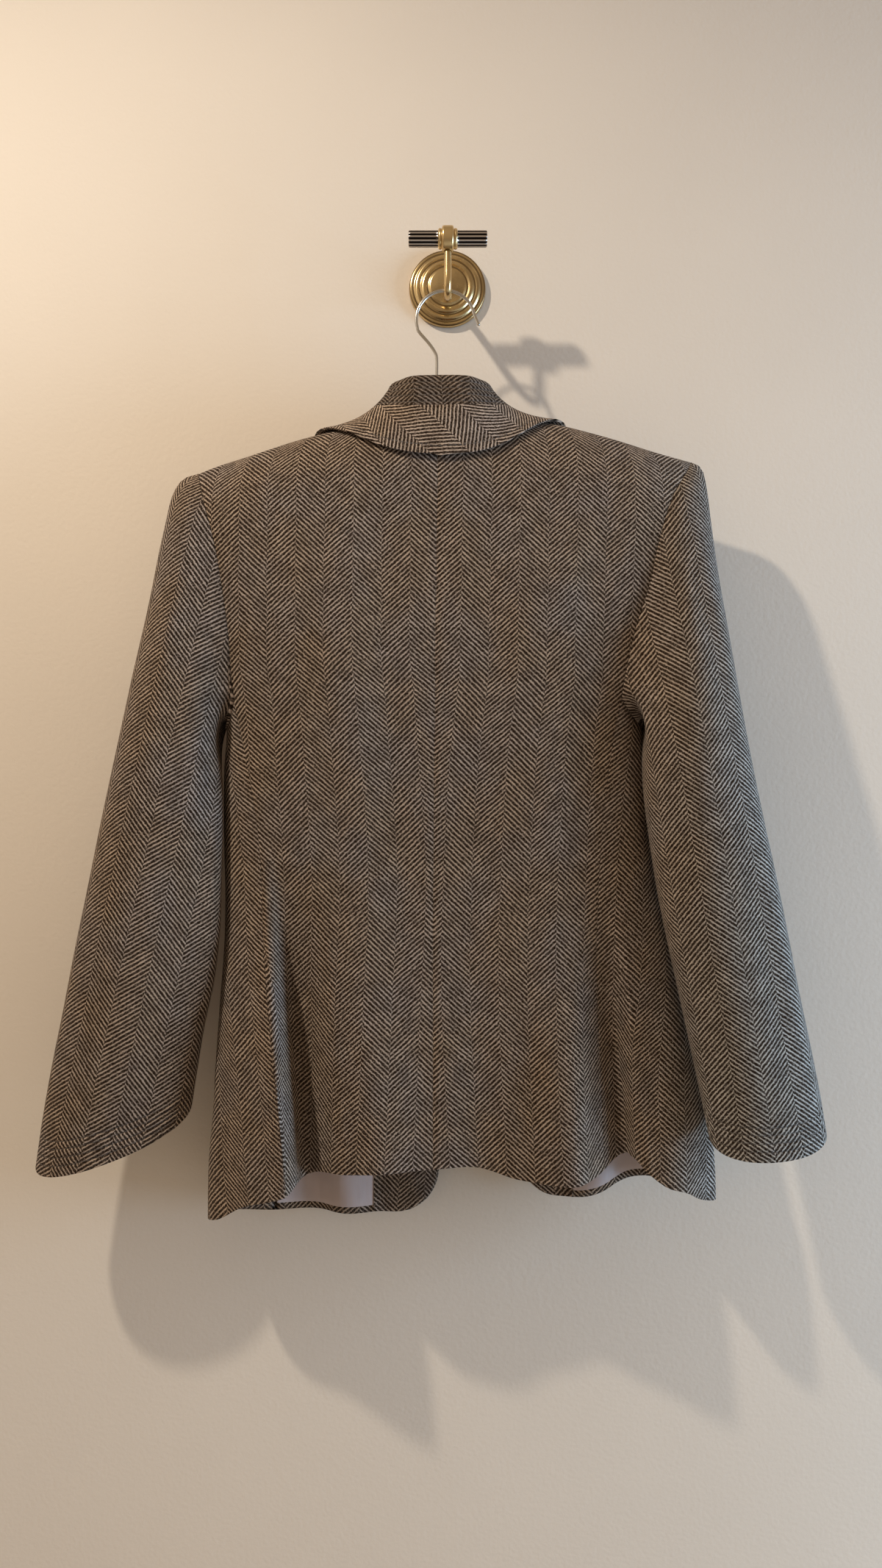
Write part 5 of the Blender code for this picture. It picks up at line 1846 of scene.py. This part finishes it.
BUTTON_RADIUS = 11.0
BUTTON_THICKNESS = 3.6
BUTTON = (
    Round(2.5, 0), Round(2.5, 4.2), Round(2.7, 6.2), Round(3.25, 7.2), Round(BUTTON_THICKNESS, 8.1),
    Round(BUTTON_THICKNESS, 9.4), Round(3.3, 10.3), Round(2.7, 10.85), Round(2.0, BUTTON_RADIUS),
    Round(1.4, BUTTON_RADIUS), Round(0.7, 10.7), Round(0, 9.6), Round(0, 0),
)
HOLE_OFF = 2.0
BUTTON_THREAD = 0.4
BUTTON_THREAD_OUT = 2.75


def make_buttons():
    outline = [(row.radius, row.across) for row in BUTTON]
    for number, height in enumerate(BUTTON_HEIGHTS, 1):
        seat = body_point(LAP_CENTRE, height, FRONT, RIGHT).y + LAYER_GAP
        centre = (Vector((LAP_CENTRE, seat, height)) + LEVEL) * MM
        dress(spun(f"button_{number}_horn", centre, outline, BUTTON_STEPS, material("horn")),
              "horn", f"button_{number}")
        sewn = bmesh.new()
        for off in (-HOLE_OFF, HOLE_OFF):
            for beside in (-0.35, 0.35):
                place = centre + Vector((off + beside, BUTTON_THREAD_OUT, 0)) * MM
                lay_thread(sewn, BUTTON_THREAD, 2 * HOLE_OFF, Matrix.Translation(place), 8)
        thread = mesh_object(f"button_{number}_thread", sewn, material("thread"))
        dress(thread, "wool_herringbone")


# ---------------------------------------------------------------- stage

CAMERA_PLACE = (-0.006, -1.115, -0.4655)
CAMERA_LENS = 27.17
SENSOR_HEIGHT = 36.0
FLOOR_HEIGHT = -1.42
WALL_TOP = 2.0
ROOM_HALF = 3.0
ROOM_DEPTH = 4.0
WALL_PLACE = 0.001

SPOT_SPREAD = 92        # degrees
SPOT_RADIUS = 0.035
Lamp = namedtuple("Lamp", "name place target size power colour")
SPOT_LAMP = Lamp("key_lamp", (-0.85, -0.8, 0.76), (0.1, 0, -1.0), None, 70, (1.0, 0.94, 0.84))
AREA_LAMPS = (
    Lamp("room_left", (-2.4, -0.85, 0.1), (0, 0, -0.4), (1.0, 1.8), 4, (1.0, 0.9, 0.8)),
    Lamp("window_right", (1.9, -0.5, -0.6), (0.25, -0.1, -0.55), (0.6, 1.2), 46, (0.43, 0.68, 1.0)),
)
ROOM_COLOUR = (1.0, 0.78, 0.56, 1)
ROOM_STRENGTH = 0.39
FLOOR_COLOUR = (0.62, 0.58, 0.52)


def hang_lamp(lamp, kind, strength):
    data = bpy.data.lights.new(lamp.name, kind)
    data.energy = lamp.power * strength
    data.color = lamp.colour
    made = bpy.data.objects.new(lamp.name, data)
    made.location = lamp.place
    made.rotation_euler = (Vector(lamp.target) - made.location).to_track_quat("-Z", "Y").to_euler()
    bpy.context.scene.collection.objects.link(made)
    return data


def plane(name, corners, finish):
    return mesh_object(name, grid_shape(2, 2, lambda i, j: corners[2 * i + j]), finish)


def plaster(name, colour, one_sided):
    """Painted plaster, which one_sided makes clear from behind."""
    graph = Graph(name)
    spot = graph.spot()
    cloud = graph.noise(spot, 3.0, 3.0)
    grain = graph.noise(spot, 260.0, 3.0)
    tone = graph.blend(graph.span(cloud, 0.3, 0.7), dimmed(colour, 0.965), colour)
    graph.shade(Base_Color=tone, Roughness=0.9, Normal=graph.bump(grain, 0.0006, 0.35))
    if one_sided:
        clear = graph.nodes.new("ShaderNodeBsdfTransparent")
        either = graph.nodes.new("ShaderNodeMixShader")
        behind = graph.nodes.new("ShaderNodeNewGeometry").outputs["Backfacing"]
        graph.links.new(behind, either.inputs[0])
        graph.links.new(graph.shader.outputs[0], either.inputs[1])
        graph.links.new(clear.outputs[0], either.inputs[2])
        graph.links.new(either.outputs[0], graph.nodes["Material Output"].inputs["Surface"])
    return graph.material


def make_room():
    looks = bpy.context.scene.jacket_looks
    corners = [(x, WALL_PLACE, z) for z in (FLOOR_HEIGHT, WALL_TOP) for x in (-ROOM_HALF, ROOM_HALF)]
    wall = plane("wall", corners, plaster("wall_paint", tuple(looks.wall_colour), True))
    corners = [(x, y, FLOOR_HEIGHT) for y in (WALL_PLACE, -ROOM_DEPTH) for x in (-ROOM_HALF, ROOM_HALF)]
    floor = plane("floor", corners, plaster("floor_plaster", FLOOR_COLOUR, False))
    wall.visible_shadow = False


def make_light():
    strength = bpy.context.scene.jacket_looks.light_strength
    spot = hang_lamp(SPOT_LAMP, "SPOT", strength)
    spot.spot_size = math.radians(SPOT_SPREAD)
    spot.spot_blend = 1.0
    spot.shadow_soft_size = SPOT_RADIUS
    for lamp in AREA_LAMPS:
        area = hang_lamp(lamp, "AREA", strength)
        area.shape = "RECTANGLE"
        area.size, area.size_y = lamp.size
    world = bpy.data.worlds.new("room")
    world.use_nodes = True
    glow = world.node_tree.nodes["Background"]
    glow.inputs["Color"].default_value = ROOM_COLOUR
    glow.inputs["Strength"].default_value = ROOM_STRENGTH * strength
    bpy.context.scene.world = world
    bpy.context.scene.view_settings.view_transform = "Standard"


def make_camera():
    data = bpy.data.cameras.new("camera")
    data.sensor_fit = "VERTICAL"
    data.sensor_height = SENSOR_HEIGHT
    data.lens = CAMERA_LENS
    camera = bpy.data.objects.new("camera", data)
    camera.location = CAMERA_PLACE
    camera.rotation_euler = (math.radians(90), 0, 0)
    bpy.context.scene.collection.objects.link(camera)
    bpy.context.scene.camera = camera


# ---------------------------------------------------------------- add-on

class JacketLooks(bpy.types.PropertyGroup):
    light_yarn: bpy.props.FloatVectorProperty(
        name="Light yarn", description="Colour of the light strands of the twill",
        subtype="COLOR", size=3, min=0, max=1, default=(0.445, 0.34, 0.255))
    dark_yarn: bpy.props.FloatVectorProperty(
        name="Dark yarn", description="Colour of the dark strands of the twill",
        subtype="COLOR", size=3, min=0, max=1, default=(0.02, 0.011, 0.006))
    lining_colour: bpy.props.FloatVectorProperty(
        name="Lining", description="Colour of the satin lining",
        subtype="COLOR", size=3, min=0, max=1, default=(0.53, 0.42, 0.39))
    brass_colour: bpy.props.FloatVectorProperty(
        name="Brass", description="Colour of the wall hook",
        subtype="COLOR", size=3, min=0, max=1, default=(0.68, 0.5, 0.25))
    wall_colour: bpy.props.FloatVectorProperty(
        name="Wall", description="Colour of the painted wall",
        subtype="COLOR", size=3, min=0, max=1, default=(0.76, 0.65, 0.53))
    light_strength: bpy.props.FloatProperty(
        name="Light strength", description="Brightness of the lamps and the room",
        min=0.05, max=5, default=1.0)


class JACKET_OT_backs(bpy.types.Operator):
    """Make the two back panels"""

    bl_idname = "jacket.backs"
    bl_label = "Make the backs"
    bl_options = {"REGISTER", "UNDO"}

    def execute(self, context):
        for side, word in SIDES:
            make_back(side, word)
        return {"FINISHED"}


class JACKET_OT_fronts(bpy.types.Operator):
    """Make the two fronts with their facings and linings"""

    bl_idname = "jacket.fronts"
    bl_label = "Make the fronts"
    bl_options = {"REGISTER", "UNDO"}

    def execute(self, context):
        for side, word in SIDES:
            make_front(side, word)
            make_inside(side, word)
        return {"FINISHED"}


class JACKET_OT_sides(bpy.types.Operator):
    """Make the two side panels"""

    bl_idname = "jacket.sides"
    bl_label = "Make the side panels"
    bl_options = {"REGISTER", "UNDO"}

    def execute(self, context):
        for side, word in SIDES:
            make_side(side, word)
        return {"FINISHED"}


class JACKET_OT_sleeves(bpy.types.Operator):
    """Make the two sleeves and their stitched cuffs"""

    bl_idname = "jacket.sleeves"
    bl_label = "Make the sleeves"
    bl_options = {"REGISTER", "UNDO"}

    def execute(self, context):
        for side, word in SIDES:
            make_sleeve(side, word)
        return {"FINISHED"}


class JACKET_OT_collar(bpy.types.Operator):
    """Make the collar's band and fall, and the two lapels"""

    bl_idname = "jacket.collar"
    bl_label = "Make the collar"
    bl_options = {"REGISTER", "UNDO"}

    def execute(self, context):
        make_collar()
        for side, word in SIDES:
            make_lapel(side, word)
        return {"FINISHED"}


class JACKET_OT_buttons(bpy.types.Operator):
    """Make the two horn buttons and their thread"""

    bl_idname = "jacket.buttons"
    bl_label = "Make the buttons"
    bl_options = {"REGISTER", "UNDO"}

    def execute(self, context):
        make_buttons()
        return {"FINISHED"}


class JACKET_OT_hanger(bpy.types.Operator):
    """Make the wooden hanger and its steel hook"""

    bl_idname = "jacket.hanger"
    bl_label = "Make the hanger"
    bl_options = {"REGISTER", "UNDO"}

    def execute(self, context):
        make_hanger()
        make_hanger_hook()
        return {"FINISHED"}


class JACKET_OT_wall_hook(bpy.types.Operator):
    """Make the brass wall hook"""

    bl_idname = "jacket.wall_hook"
    bl_label = "Make the wall hook"
    bl_options = {"REGISTER", "UNDO"}

    def execute(self, context):
        make_rose()
        make_arm()
        make_bar()
        return {"FINISHED"}


class JACKET_OT_stage(bpy.types.Operator):
    """Make the wall, the floor, the light and the camera"""

    bl_idname = "jacket.stage"
    bl_label = "Make the stage"
    bl_options = {"REGISTER", "UNDO"}

    def execute(self, context):
        make_room()
        make_light()
        make_camera()
        return {"FINISHED"}


OPERATORS = (
    JACKET_OT_backs,
    JACKET_OT_fronts,
    JACKET_OT_sides,
    JACKET_OT_sleeves,
    JACKET_OT_collar,
    JACKET_OT_buttons,
    JACKET_OT_hanger,
    JACKET_OT_wall_hook,
    JACKET_OT_stage,
)


class JACKET_PT_panel(bpy.types.Panel):
    """List the jacket's looks and the operators that make its pieces"""

    bl_idname = "JACKET_PT_panel"
    bl_label = "Herringbone Jacket"
    bl_space_type = "VIEW_3D"
    bl_region_type = "UI"
    bl_category = "Jacket"

    def draw(self, context):
        looks = context.scene.jacket_looks
        for name in looks.__annotations__:
            self.layout.prop(looks, name)
        for operator in OPERATORS:
            self.layout.operator(operator.bl_idname)


CLASSES = (JacketLooks, *OPERATORS, JACKET_PT_panel)


def register():
    for made in CLASSES:
        bpy.utils.register_class(made)
    bpy.types.Scene.jacket_looks = bpy.props.PointerProperty(type=JacketLooks)


def unregister():
    del bpy.types.Scene.jacket_looks
    for made in reversed(CLASSES):
        bpy.utils.unregister_class(made)


def main():
    register()
    for operator in OPERATORS:
        family, name = operator.bl_idname.split(".")
        getattr(getattr(bpy.ops, family), name)()


if __name__ == "__main__":
    main()
